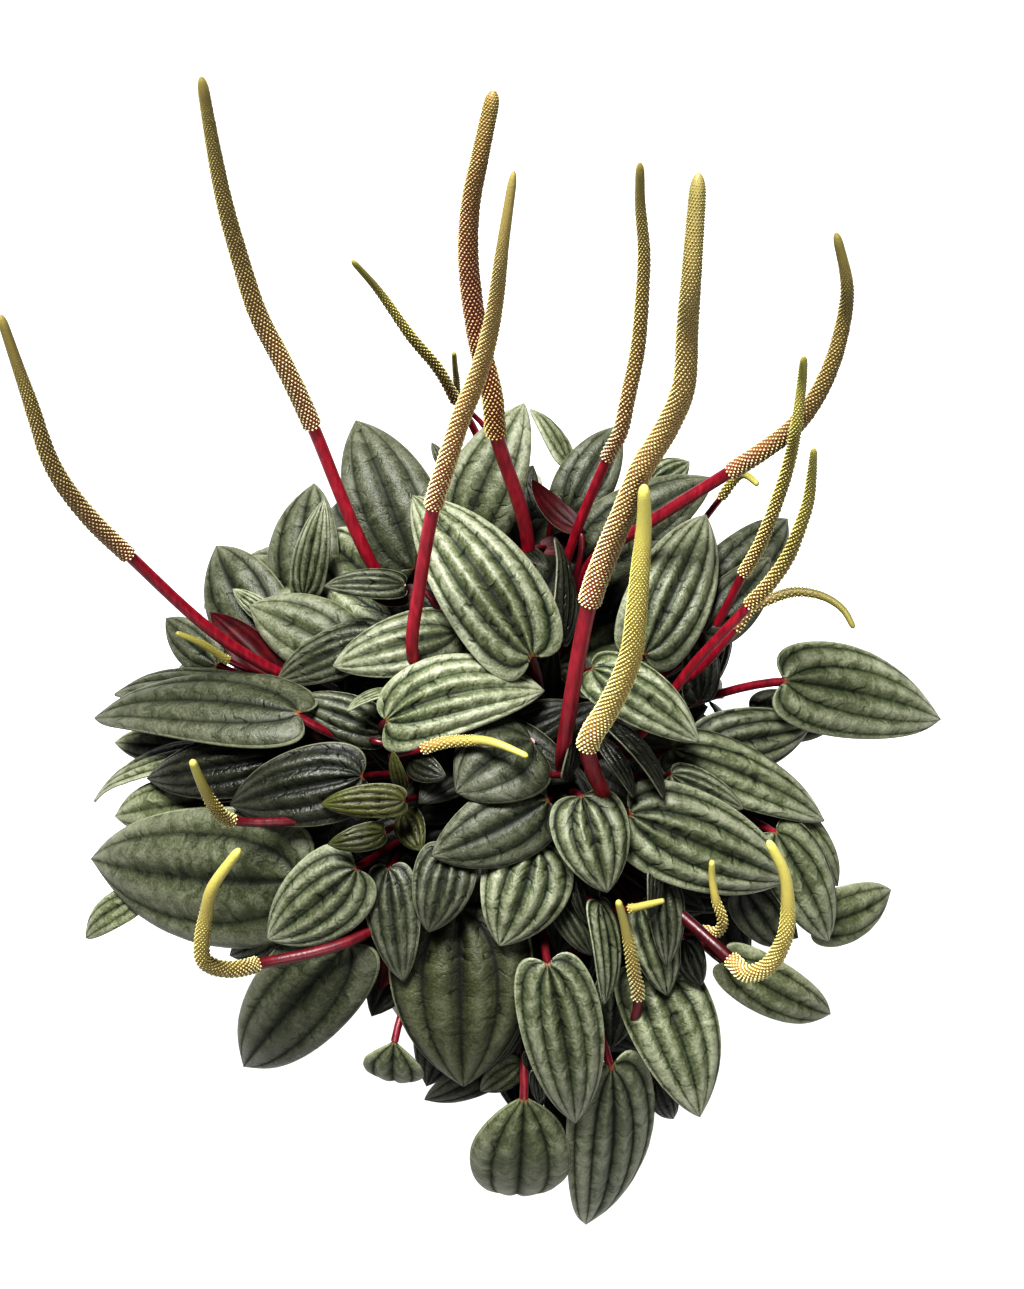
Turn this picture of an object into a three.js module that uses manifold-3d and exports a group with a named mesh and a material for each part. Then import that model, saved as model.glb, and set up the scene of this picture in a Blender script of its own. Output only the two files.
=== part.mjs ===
// Ripple peperomia in a round nursery pot: a three.js scene of closed solids.
// Sizes are in millimetres and +Z is up. The origin is the middle of the pot's underside, and the plant's
// front faces -Y.
import * as THREE from "three";
import { mergeVertices } from "three/addons/utils/BufferGeometryUtils.js";
import Module from "manifold-3d";

const wasm = await Module();
wasm.setup();

// ---- driving dimensions ----
const POT_HEIGHT = 85;
const POT_RIM_RADIUS = 52.5;
const POT_BASE_RADIUS = 38;
const POT_WALL = 1.8;
const POT_FLOOR = 2.4;
const POT_SIDES = 32;
const RIM_HEIGHT = 9;
const RIM_LEDGE = 2.2;
const DRAIN_HOLES = 6;
const DRAIN_RADIUS = 3.5;
const DRAIN_CIRCLE = 24;
const DRAIN_SIDES = 8;
const SOIL_TOP = 76;
const FIT_GAP = 0.35;

const CROWN_STUB_RADIUS = 17;
const CROWN_STUB_DEPTH = 16;
const CORE_RADIUS = 54;
const CORE_DEPTH_SHARE = 0.86;
const CORE_SETBACK = 9;
const CORE_BOTTOM = 87;
const CORE_TOP = 139;

const BLADE_THICKNESS = 0.9;
const RIPPLE_DEPTH = 0.07;
const CAMBER = 0.1;
const ARCH = 0.09;
const PETIOLE_RADIUS = 1.25;
const STALK_SIDES = 4;
const STALK_STEP = 14;
const SPADIX_SIDES = 6;
const SPADIX_STEP = 6.5;
const FLORET_RELIEF = 0.13;

const LEAF_GREEN = 0x62705f;
const STALK_RED = 0x9c1f2c;
const SPADIX_CREAM = 0xb5a35c;
const SPADIX_OLIVE = 0x7d6a35;
const POT_GREY = 0x2c2d2f;
const SOIL_BROWN = 0x35271d;

// ---- the display sheet ----
// Blades and spikes are set out on a flat sheet through the mound that faces the front from 60 degrees
// above the floor. A place on it is [across, up]. Depth stands out of the sheet, and what stands out is
// drawn in toward the sheet's middle, so that it lines up for an eye EYE_DISTANCE away.
const SHEET_MIDDLE = new THREE.Vector3(0, 36, 121);
const SHEET_ELEVATION = THREE.MathUtils.degToRad(60);
const EYE_DISTANCE = 480;
const MOUND_DEPTH = 62;
const MOUND_MIDDLE_UP = -32;
const MOUND_REACH = 128;

function sheetToPart(place) {
  const scale = 1 - place.z / EYE_DISTANCE;
  const up = place.y * scale;
  return new THREE.Vector3(
    SHEET_MIDDLE.x + place.x * scale,
    SHEET_MIDDLE.y + up * Math.sin(SHEET_ELEVATION) - place.z * Math.cos(SHEET_ELEVATION),
    SHEET_MIDDLE.z + up * Math.cos(SHEET_ELEVATION) + place.z * Math.sin(SHEET_ELEVATION),
  );
}

function moundDepth(across, up) {
  const off = Math.hypot(across, up - MOUND_MIDDLE_UP) / MOUND_REACH;
  return MOUND_DEPTH * (1 - off * off);
}

// ---- the leaves that face the front, from the nearest to the furthest back ----
// Each row is: where the petiole joins, [across, up]; the tip, [across, up]; the width as it shows; and
// how much deeper than the mound the tip hangs.
const FRONT_LEAVES = [
  [20, -6, 47, -24, 15, 0],
  [5, -3, -25, 38, 25, 0],
  [-30, -19, 8, -13, 24, 0],
  [33, -2.5, 49, 33, 21, 0],
  [17.5, -38, 24, -62, 19, 0],
  [5, -24, -14, -36.5, 24, 0],
  [9, -39, -20, -53, 20, 0],
  [6, -50, -3, -75.5, 22.5, 0],
  [-15.5, -51, -21, -72, 15.5, 0],
  [25, -19, 39, -38, 6, 0],
  [29.5, -42.5, 70, -59, 24, 0],
  [40, -32.5, 58, -41, 9, 0],
  [40, -26, 79, -44, 16, 0],
  [68.5, -10, 107, -20, 22.5, 6],
  [48, -25, 73.5, -18, 15, 0],
  [60, -16, 79, -19, 10, 0],
  [66, -47, 80, -74.5, 16, 6],
  [69.5, -42.5, 83.5, -60, 11, 4],
  [77, -70, 95, -62, 12.5, 8],
  [22, -64.5, 24, -90, 8, 0],
  [38, -59, 39, -80.5, 9, 0],
  [32, -65, 39, -88, 12.5, 0],
  [9, -80, 16, -120.5, 21, 0],
  [34, -80, 48, -116.5, 22.5, 5],
  [25, -106, 19.5, -145, 22, 22],
  [36, -109, 40.5, -119, 7.5, 6],
  [-39, -56, -61.5, -74, 21, 0],
  [-31, -56, -27.5, -84.5, 14, 0],
  [-13, -66, -12, -111, 34, 0],
  [4, -114.5, 2, -137.5, 24.5, 30],
  [-41, -75, -66.5, -105, 24, 8],
  [-53.5, -17, -104, -18, 18, 4],
  [-27, -39, -48, -40, 8.5, 0],
  [-27, -42, -23, -51.5, 8, 0],
  [-37.5, -33, -71, -40, 20, 0],
  [-57, -28, -92, -33.5, 16, 0],
  [-53.5, -56, -105, -52, 31, 6],
  [-75.5, -39, -100, -43, 14, 4],
  [-73, -25, -103.5, -37, 7.5, 4],
  [-78, -26, -100, -24.5, 10, 4],
  [-58, -72.5, -71, -78, 9, 6],
  [-94, -62.5, -107.5, -73, 6, 10],
  [-13.5, 3, -45, -5, 16, 0],
  [-27, 15, -47, 15, 7.5, 0],
  [-25, 19, -40, 56, 22.5, 2],
  [-29, -24, -52, -14, 12.5, 0],
  [-34, 2.5, -59.5, -9, 12.5, 0],
  [-40.5, -2.5, -66, 10, 19, 0],
  [-62.5, 3, -74, 24.5, 20, 2],
  [-52, 12, -47.5, 36, 9, 0],
  [-53, 11, -50, 40, 17.5, 2],
  [-69, -9, -99, -11.5, 9, 4],
  [-74, -5, -86.5, 6.5, 11, 4],
  [-1, 26, 2.5, 60, 19, 0],
  [16.5, 20, 50, 42, 19, 0],
  [14, 33, 26.5, 55, 17.5, 0],
  [35, 41, 44.5, 46, 8, 4],
  [14, 46, 5, 59.5, 6, 6],
  [48, 3, 65, 22, 14, 0],
  [48, 11, 69.5, 31, 15, 4],
  [47, -14, 45.5, 6.5, 9.5, 0],
  [52.5, 5, 48, -13, 7.5, 2],
  [-32, -47, -46, -50, 7, 0],
  [-25.5, -29, -17, -33, 7.5, 0],
  [53, -80, 79, -93, 14, 8],
  [58, -61, 68, -76, 12.5, 6],
  [1, -102.5, -22, -114.5, 10, 6],
  [-30, -100, -27, -110, 17, 30],
];

// ---- the blades round the back, in rings on the mound ----
const MOUND_CENTRE = new THREE.Vector3(0, 6, 96);
const MOUND_RADII = new THREE.Vector3(94, 90, 74);
const BACK_RINGS = [
  { elevation: 32, from: 38, to: 142, leaves: 5, length: 42, width: 27 },
  { elevation: 10, from: 8, to: 172, leaves: 7, length: 44, width: 28 },
  { elevation: -13, from: -6, to: 186, leaves: 8, length: 42, width: 26 },
];

// ---- the flower spikes ----
// stalk: places on the sheet from where the stalk leaves the leaves up to the spadix. spadix: the places
// after that, to its tip. depths: at the stalk's first place, at its top and at the tip. radii: of the
// spadix at its foot and at its tip.
const SPIKES = [
  { stalk: [[-35.5, 21], [-50, 55]], depths: [44, 70, 135], radii: [1.9, 0.8],
    spadix: [[-55, 68], [-63, 83], [-68, 97.5], [-72, 111], [-75, 126], [-77, 142]] },
  { stalk: [[-69, -1], [-96, 22.5]], depths: [40, 62, 112], radii: [1.9, 1.0],
    spadix: [[-105.5, 32], [-115.5, 44], [-121, 61], [-128, 82.5]] },
  { stalk: [[4, 25], [-4, 53]], depths: [46, 72, 130], radii: [2.3, 1.2],
    spadix: [[-5, 62.5], [-8, 74.5], [-10, 86.5], [-11, 98.5], [-11, 110.5], [-8.5, 122], [-4.5, 138.5]] },
  { stalk: [[-24.5, -4], [-23, 15], [-19.5, 35]], depths: [50, 82, 150], radii: [2, 0.8],
    spadix: [[-16.5, 45], [-13, 56], [-9, 66], [-6, 76], [-4, 86.5], [-2.5, 98.5], [0.5, 118.5]] },
  { stalk: [[14.5, 23.5], [24, 47]], depths: [42, 64, 122], radii: [1.6, 0.8],
    spadix: [[27, 53], [29, 62], [31.5, 74.5], [32.5, 86.5], [33, 98.5], [32, 110.5], [32, 120.5]] },
  { stalk: [[12, -36], [13, -25], [19.5, 11]], depths: [32, 88, 165], radii: [2.4, 1.4],
    spadix: [[24, 23.5], [28, 33], [32.5, 44], [38, 54], [42, 64], [43, 78.5], [44, 90.5], [47, 118]] },
  { stalk: [[23, -40], [19, -25]], depths: [48, 70, 122], radii: [2.5, 1.2],
    spadix: [[24, -16], [27.5, -9], [30, -1.5], [31, 7], [32, 18], [33, 30], [33, 40]] },
  { stalk: [[19.5, 20], [32, 29], [55, 43.5]], depths: [44, 70, 125], radii: [1.9, 0.9],
    spadix: [[62, 48], [70, 54], [75.5, 61], [81, 70.5], [84, 82.5], [84.5, 90.5], [81, 103]] },
  { stalk: [[49, 32.5], [52.5, 37]], depths: [26, 34, 48], radii: [1.1, 0.7],
    spadix: [[55, 40.5], [58, 42.5], [61.5, 40]] },
  { stalk: [[48, 1], [58, 18]], depths: [40, 56, 112], radii: [1.4, 0.8],
    spadix: [[62, 25], [65, 32.5], [68, 41], [70, 48.5], [71, 54], [72.5, 66], [73, 72]] },
  { stalk: [[32, -22.5], [44.5, -6], [59.5, 10]], depths: [42, 70, 112], radii: [1.5, 0.7],
    spadix: [[65, 16], [69, 22], [71.5, 28], [74, 35.5], [75, 43], [75.5, 49]] },
  { stalk: [[46, -7], [56, 4]], depths: [44, 54, 60], radii: [1.2, 0.7],
    spadix: [[60, 9], [65, 11.5], [69.5, 13], [74, 13], [79, 11.5], [83, 8.5], [85.5, 4]] },
  { stalk: [[-8, 50], [-14, 61]], depths: [14, 24, 70], radii: [1, 0.6],
    spadix: [[-18.5, 69], [-26, 77], [-34, 88.5], [-40, 96]] },
  { stalk: [[-5, 51], [-13, 61]], depths: [6, 14, 36], radii: [0.9, 0.6],
    spadix: [[-14, 67], [-14.5, 73]] },
  { stalk: [[-53, -44], [-70, -44]], depths: [48, 54, 78], radii: [1.5, 0.9],
    spadix: [[-74, -41], [-77, -36], [-80, -29]] },
  { stalk: [[-38, -73], [-64, -80]], depths: [46, 54, 88], radii: [1.8, 1],
    spadix: [[-68, -81], [-73, -81], [-77, -79], [-77.5, -74], [-76.5, -67.5], [-75, -61], [-68, -51]] },
  { stalk: [[-30, -28], [-22, -26]], depths: [46, 54, 64], radii: [1.3, 0.7],
    spadix: [[-17, -24.5], [-12, -24], [-7, -24], [-3, -25], [4, -28]] },
  { stalk: [[38, -64], [55, -79]], depths: [42, 54, 92], radii: [1.9, 1],
    spadix: [[58, -82], [61, -82], [64.5, -80], [67, -76], [68.5, -72], [69, -65], [68, -57], [64, -49]] },
  { stalk: [[37, -71.5], [48, -71.5]], depths: [34, 42, 62], radii: [1.2, 0.7],
    spadix: [[51, -72], [52.5, -70.5], [52.5, -68], [51, -64], [50, -58], [50, -54]] },
  { stalk: [[30, -94], [31.5, -88]], depths: [36, 42, 68], radii: [1.5, 0.8],
    spadix: [[30.5, -82], [29.5, -76], [28, -69.5], [26.5, -64]] },
  { stalk: [[24, -66], [29.5, -66]], depths: [47, 53, 58], radii: [1, 0.6],
    spadix: [[34, -65], [38, -64]] },
  { stalk: [[-62, -8], [-71, -4]], depths: [30, 34, 42], radii: [1, 0.6],
    spadix: [[-77, 0], [-84, 3]] },
];

// ---- solids from geometries ----
const MERGE_DISTANCE = 1e-4;

function toSolid(geometry) {
  geometry.deleteAttribute("normal");
  geometry.deleteAttribute("uv");
  const merged = mergeVertices(geometry, MERGE_DISTANCE);
  const corners = merged.index.array;
  const kept = [];
  for (let i = 0; i < corners.length; i += 3) {
    const [a, b, c] = [corners[i], corners[i + 1], corners[i + 2]];
    if (a !== b && b !== c && c !== a) kept.push(a, b, c);
  }
  const vertProperties = new Float32Array(merged.attributes.position.array);
  const triVerts = new Uint32Array(kept);
  return new wasm.Manifold(new wasm.Mesh({ numProp: 3, vertProperties, triVerts }));
}

function toGeometry(solid) {
  const mesh = solid.getMesh();
  const geometry = new THREE.BufferGeometry();
  geometry.setAttribute("position", new THREE.BufferAttribute(new Float32Array(mesh.vertProperties), 3));
  geometry.setIndex(new THREE.BufferAttribute(new Uint32Array(mesh.triVerts), 1));
  geometry.computeVertexNormals();
  return geometry;
}

// A turned profile, bent so that its axis follows a curve. Each row is a share of the curve's length and
// the radius there; bumps makes every second corner stand in and out by that share of the radius.
const FRAME_STEPS = 240;

function bentTube(curve, rows, sides, bumps = 0) {
  const frames = curve.computeFrenetFrames(FRAME_STEPS);
  const profile = [new THREE.Vector2(0, rows[0].share)];
  for (const row of rows) profile.push(new THREE.Vector2(row.radius, row.share));
  profile.push(new THREE.Vector2(0, rows.at(-1).share));
  const geometry = new THREE.LatheGeometry(profile, sides);
  const position = geometry.attributes.position;
  for (let i = 0; i < position.count; i += 1) {
    const row = i % profile.length;
    const column = Math.floor(i / profile.length) % sides;
    const share = position.getY(i);
    const step = Math.round(share * FRAME_STEPS);
    const inner = row > 1 && row < profile.length - 2;
    const swell = inner ? 1 + bumps * ((row + column) % 2 === 0 ? 1 : -1) : 1;
    const point = curve.getPointAt(share);
    point.addScaledVector(frames.binormals[step], position.getX(i) * swell);
    point.addScaledVector(frames.normals[step], position.getZ(i) * swell);
    position.setXYZ(i, point.x, point.y, point.z);
  }
  return toSolid(geometry);
}

function evenRows(from, to, count, radiusAt) {
  return Array.from({ length: count + 1 }, (_, i) => {
    const share = from + ((to - from) * i) / count;
    return { share, radius: radiusAt(share) };
  });
}

// ---- blades ----
// s runs from the petiole to the tip along a vein and t from edge to edge across the blade. Veins start
// together at the petiole, the outer ones swing back round the lobes, and all meet again at the tip.
function bladeOutline(s, t) {
  const early = 3 * (1 - s) * (1 - s) * s;
  const late = 3 * (1 - s) * s * s;
  return {
    along: early * (0.25 - 0.45 * t * t) + late * 0.68 + s * s * s,
    across: t * (early * 1.6 + late),
  };
}

const FADE_POWER = 0.6;

function bladePoint(blade, s, t, below) {
  const { along, across } = bladeOutline(s, t);
  const fade = Math.pow(Math.max(0, 4 * s * (1 - s)), FADE_POWER);
  const ripple = Math.abs(Math.sin(blade.ridges * Math.PI * t));
  const relief = blade.width * fade * (RIPPLE_DEPTH * ripple - CAMBER * t * t);
  const height = relief + blade.length * ARCH * 4 * along * (1 - along) - below;
  return blade.base.clone()
    .addScaledVector(blade.along, blade.length * along)
    .addScaledVector(blade.across, (blade.width / 2) * across)
    .addScaledVector(blade.face, height);
}

// Between the midrib and the edge stand two ridges, or one on a blade narrower than this.
const WIDE_BLADE = 16;

// A blade lies along the line from base to tip and faces as nearly outward as that line lets it.
function makeBlade(base, tip, outward, width, toPart) {
  const along = tip.clone().sub(base);
  const length = along.length();
  along.normalize();
  const face = outward.clone().addScaledVector(along, -outward.dot(along)).normalize();
  const across = new THREE.Vector3().crossVectors(face, along);
  const ridges = width > WIDE_BLADE ? 2 : 1;
  return { base, along, face, across, length, width, ridges, toPart };
}

const BASE_SINK = 4;
const TIP_RISE = 2;
const NARROWEST = 0.38;

function frontBlade([baseAcross, baseUp, tipAcross, tipUp, shownWidth, hang]) {
  const base = new THREE.Vector3(baseAcross, baseUp, moundDepth(baseAcross, baseUp) - BASE_SINK);
  const tip = new THREE.Vector3(tipAcross, tipUp, moundDepth(tipAcross, tipUp) + TIP_RISE - hang);
  const fall = (2 * MOUND_DEPTH) / (MOUND_REACH * MOUND_REACH);
  const middle = base.clone().add(tip).multiplyScalar(0.5);
  const outward = new THREE.Vector3(fall * middle.x, fall * (middle.y - MOUND_MIDDLE_UP), 1).normalize();
  const blade = makeBlade(base, tip, outward, shownWidth, sheetToPart);
  blade.width = shownWidth / Math.hypot(blade.across.x, blade.across.y);
  // A blade that shows narrower than leaves are is turned about its length, its outer side down.
  const fullWidth = Math.max(blade.width, NARROWEST * blade.length);
  const radial = new THREE.Vector3(middle.x, middle.y - MOUND_MIDDLE_UP, 0);
  const turn = Math.acos(blade.width / fullWidth) * (blade.across.dot(radial) > 0 ? -1 : 1);
  blade.face.applyAxisAngle(blade.along, turn);
  blade.across.crossVectors(blade.face, blade.along);
  blade.width = fullWidth;
  return blade;
}

// Each blade in turn is set behind all those before it wherever their outlines meet on the sheet. It is
// moved back, and leaned lengthways and sideways, by the least that clears them.
const CELL = 2.2;
const STACK_GAP = 1.3;
const STACK_STEPS = 22;
const EDGE_SHARE = 0.86;
const LEANS = [0, -0.12, -0.24, -0.36, -0.48, 0.12, 0.24];
const TILTS = [0, -0.15, 0.15, -0.3, 0.3];
const LEAN_COST = 9;
// how deep the stack already reaches over each cell of the sheet
const occupied = new Map();

function stackPlaces(blade) {
  const places = [];
  for (let i = 2; i < STACK_STEPS - 1; i += 1) {
    for (let j = 0; j <= STACK_STEPS; j += 1) {
      const point = bladePoint(blade, i / STACK_STEPS, EDGE_SHARE * ((2 * j) / STACK_STEPS - 1), 0);
      const offset = point.clone().sub(blade.base);
      const cell = `${Math.round(point.x / CELL)},${Math.round(point.y / CELL)}`;
      places.push({ cell, depth: point.z, x: offset.dot(blade.along), y: offset.dot(blade.across) });
    }
  }
  return places;
}

function stackBehind(blade) {
  const covered = stackPlaces(blade).filter(({ cell }) => occupied.has(cell));
  let best = { cost: covered.length ? Infinity : 0, push: 0, lean: 0, tilt: 0 };
  for (const lean of covered.length ? LEANS : []) {
    for (const tilt of TILTS) {
      const behind = covered.map(({ cell, depth, x, y }) => {
        return depth + STACK_GAP - occupied.get(cell) - lean * x - tilt * y;
      });
      const push = Math.max((-lean * blade.length) / 2, ...behind);
      const cost = push + (lean * blade.length) / 2 + LEAN_COST * (Math.abs(lean) + Math.abs(tilt));
      if (cost < best.cost) best = { cost, push, lean, tilt };
    }
  }
  blade.base.z -= best.push;
  blade.along.z -= best.lean;
  blade.across.z -= best.tilt;
  blade.face.crossVectors(blade.along, blade.across).normalize();
  for (const { cell, depth } of stackPlaces(blade)) {
    const back = depth - BLADE_THICKNESS;
    occupied.set(cell, Math.min(back, occupied.get(cell) ?? back));
  }
}

function onMound(azimuth, elevation, swell) {
  const round = THREE.MathUtils.degToRad(azimuth);
  const rise = THREE.MathUtils.degToRad(elevation);
  const level = Math.cos(rise);
  return new THREE.Vector3(Math.cos(round) * level, Math.sin(round) * level, Math.sin(rise))
    .multiplyScalar(swell)
    .multiply(MOUND_RADII)
    .add(MOUND_CENTRE);
}

const BACK_SINK = 0.9;
const BACK_RISE = 1.03;
const BACK_SWING = 7;
const BACK_SWING_STEP = 5.1;
const unmoved = (point) => point;

function backBlade(ring, index) {
  const azimuth = ring.from + ((ring.to - ring.from) * index) / (ring.leaves - 1);
  const swing = BACK_SWING * Math.sin(BACK_SWING_STEP * index + ring.elevation);
  const spread = THREE.MathUtils.radToDeg(ring.length / 2 / MOUND_RADII.z);
  const base = onMound(azimuth, ring.elevation + spread, BACK_SINK);
  const tip = onMound(azimuth + swing, ring.elevation - spread, BACK_RISE);
  const outward = onMound(azimuth, ring.elevation, 1).sub(MOUND_CENTRE).normalize();
  return { ...makeBlade(base, tip, outward, ring.width, unmoved), ridges: 1 };
}

// One closed sheet of even thickness, split into triangles alike on both faces.
function bladeSolid(blade, columns, stations) {
  const points = [];
  for (const below of [0, BLADE_THICKNESS]) {
    points.push(bladePoint(blade, 0, 0, below));
    for (let i = 1; i < stations; i += 1) {
      for (let j = 0; j < columns; j += 1) {
        points.push(bladePoint(blade, i / stations, (2 * j) / (columns - 1) - 1, below));
      }
    }
    points.push(bladePoint(blade, 1, 0, below));
  }
  const under = points.length / 2;
  const last = under - 1;
  const at = (row, column) => 1 + (row - 1) * columns + column;
  const top = [];
  for (let j = 0; j < columns - 1; j += 1) {
    top.push([0, at(1, j), at(1, j + 1)]);
    for (let i = 1; i < stations - 1; i += 1) {
      top.push([at(i, j), at(i + 1, j), at(i + 1, j + 1)]);
      top.push([at(i, j), at(i + 1, j + 1), at(i, j + 1)]);
    }
    top.push([at(stations - 1, j), last, at(stations - 1, j + 1)]);
  }
  const rim = [0];
  for (let i = 1; i < stations; i += 1) rim.push(at(i, 0));
  rim.push(last);
  for (let i = stations - 1; i > 0; i -= 1) rim.push(at(i, columns - 1));
  const faces = top.flatMap(([a, b, c]) => [a, b, c, c + under, b + under, a + under]);
  rim.forEach((from, i) => {
    const to = rim[(i + 1) % rim.length];
    faces.push(from, from + under, to + under, from, to + under, to);
  });
  const placed = points.map(blade.toPart);
  const geometry = new THREE.BufferGeometry().setFromPoints(placed);
  geometry.setIndex(faces);
  return toSolid(geometry);
}

// ---- petioles ----
const CROWN = new THREE.Vector3(0, CORE_SETBACK, 98);
const ROOT_DEPTH = 7;
const LOWEST_ROOT = CORE_BOTTOM + 13;
const PETIOLE_SIDES = 3;
const PETIOLE_RISE = 22;
// how far along its blade a petiole joins it
const JOIN_SHARE = 0.12;
const SMALL_LEAF_SHARE = 0.6;
const FULL_LEAF_WIDTH = 24;

// How far from the crown's middle its surface lies, in the direction of a place.
function crownReach(place) {
  const reach = place.clone().sub(CROWN);
  const rise = CORE_TOP - CROWN.z;
  const shares = [reach.x / CORE_RADIUS, reach.y / (CORE_DEPTH_SHARE * CORE_RADIUS), reach.z / rise];
  return reach.length() / Math.hypot(...shares);
}

// The place a little inside the crown that a stem to this target stands out of.
function rootToward(target) {
  const reach = target.clone().sub(CROWN);
  const depth = Math.min(crownReach(target), reach.length()) - ROOT_DEPTH;
  const root = CROWN.clone().addScaledVector(reach.normalize(), depth);
  root.z = Math.max(root.z, LOWEST_ROOT);
  return root;
}

// The petiole meets its blade from underneath, so it starts from the crown below the blade's back.
function petioleSolid(blade) {
  const join = blade.toPart(bladePoint(blade, JOIN_SHARE, 0, BLADE_THICKNESS / 2));
  const root = rootToward(blade.toPart(bladePoint(blade, JOIN_SHARE, 0, PETIOLE_RISE)));
  const growth = Math.min(1, blade.width / FULL_LEAF_WIDTH);
  const radius = PETIOLE_RADIUS * THREE.MathUtils.lerp(SMALL_LEAF_SHARE, 1, growth);
  const line = new THREE.LineCurve3(root, join);
  return bentTube(line, evenRows(0, 1, 1, () => radius), PETIOLE_SIDES);
}

// ---- pot and soil ----
const RIM_DRAFT = 0.6;
const RIM_BEAD = 0.4;
const RIM_BLEND = 3;
const SOIL_ROUNDING = 5;
const SOIL_LEVEL_RADIUS = 30;

// The radius of the pot's outer wall, which widens evenly up to the ledge under the rim.
function potRadius(height) {
  return POT_BASE_RADIUS + ((POT_RIM_RADIUS - RIM_LEDGE - POT_BASE_RADIUS) * height) / POT_HEIGHT;
}

function makePot() {
  const ledge = POT_HEIGHT - RIM_HEIGHT;
  const profile = [
    [0, 0],
    [POT_BASE_RADIUS, 0],
    [potRadius(ledge), ledge],
    [POT_RIM_RADIUS - RIM_DRAFT, ledge],
    [POT_RIM_RADIUS, POT_HEIGHT],
    [POT_RIM_RADIUS - POT_WALL - RIM_BEAD, POT_HEIGHT],
    [potRadius(ledge) - POT_WALL, ledge - RIM_BLEND],
    [potRadius(POT_FLOOR) - POT_WALL, POT_FLOOR],
    [0, POT_FLOOR],
  ].map(([radius, height]) => new THREE.Vector2(radius, height));
  let pot = upright(profile, POT_SIDES);
  for (let i = 0; i < DRAIN_HOLES; i += 1) {
    const angle = (2 * Math.PI * i) / DRAIN_HOLES;
    const hole = new THREE.CylinderGeometry(DRAIN_RADIUS, DRAIN_RADIUS, 4 * POT_FLOOR, DRAIN_SIDES);
    hole.rotateX(Math.PI / 2);
    hole.translate(DRAIN_CIRCLE * Math.cos(angle), DRAIN_CIRCLE * Math.sin(angle), 0);
    pot = pot.subtract(toSolid(hole));
  }
  return pot;
}

function upright(profile, sides) {
  const geometry = new THREE.LatheGeometry(profile, sides);
  geometry.rotateX(Math.PI / 2);
  return toSolid(geometry);
}

const CROWN_HOLE_BOTTOM = SOIL_TOP - CROWN_STUB_DEPTH - FIT_GAP;

function makeSoil() {
  const floor = POT_FLOOR + FIT_GAP;
  const edge = (height) => potRadius(height) - POT_WALL - FIT_GAP;
  const profile = [
    [0, floor],
    [edge(floor), floor],
    [edge(SOIL_TOP - SOIL_ROUNDING), SOIL_TOP - SOIL_ROUNDING],
    [edge(SOIL_TOP - SOIL_ROUNDING) - 1, SOIL_TOP - SOIL_ROUNDING / 2],
    [SOIL_LEVEL_RADIUS, SOIL_TOP],
    [CROWN_STUB_RADIUS + FIT_GAP, SOIL_TOP],
    [CROWN_STUB_RADIUS + FIT_GAP, CROWN_HOLE_BOTTOM],
    [0, CROWN_HOLE_BOTTOM],
  ].map(([radius, height]) => new THREE.Vector2(radius, height));
  return upright(profile, POT_SIDES);
}

// The dome of the crown, from its foot to its top, as shares of its radius and height.
const CROWN_PROFILE = [[0, 0], [0.72, 0], [1, 0.2], [0.95, 0.5], [0.76, 0.75], [0.42, 0.93], [0, 1]];
const CROWN_SIDES = 16;
const STUB_SINK = 2;

// The crowded short stems of the crown, which the petioles and flower stalks stand out of, on the stub
// that is rooted in the soil.
function makeCrown() {
  const height = CORE_TOP - CORE_BOTTOM;
  const profile = CROWN_PROFILE.map(([radius, share]) => {
    return new THREE.Vector2(radius * CORE_RADIUS, CORE_BOTTOM + share * height);
  });
  const dome = new THREE.LatheGeometry(profile, CROWN_SIDES);
  dome.rotateX(Math.PI / 2);
  dome.scale(1, CORE_DEPTH_SHARE, 1);
  dome.translate(0, CORE_SETBACK, 0);
  const stubHeight = CORE_BOTTOM + CROWN_STUB_DEPTH - SOIL_TOP + STUB_SINK;
  const stub = new THREE.CylinderGeometry(CROWN_STUB_RADIUS, CROWN_STUB_RADIUS, stubHeight, CROWN_SIDES);
  stub.rotateX(Math.PI / 2);
  stub.translate(0, 0, SOIL_TOP - CROWN_STUB_DEPTH + stubHeight / 2);
  return toSolid(dome).add(toSolid(stub));
}

// ---- flower spikes ----
const STALK_RADIUS_SHARE = 0.82;
const SPADIX_GAP = 0.3;
const ROOT_GAP = 0.4;
const CLEARANCE = 0.5;
const FEWEST_STALK_ROWS = 2;
const FEWEST_SPADIX_ROWS = 4;

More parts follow.
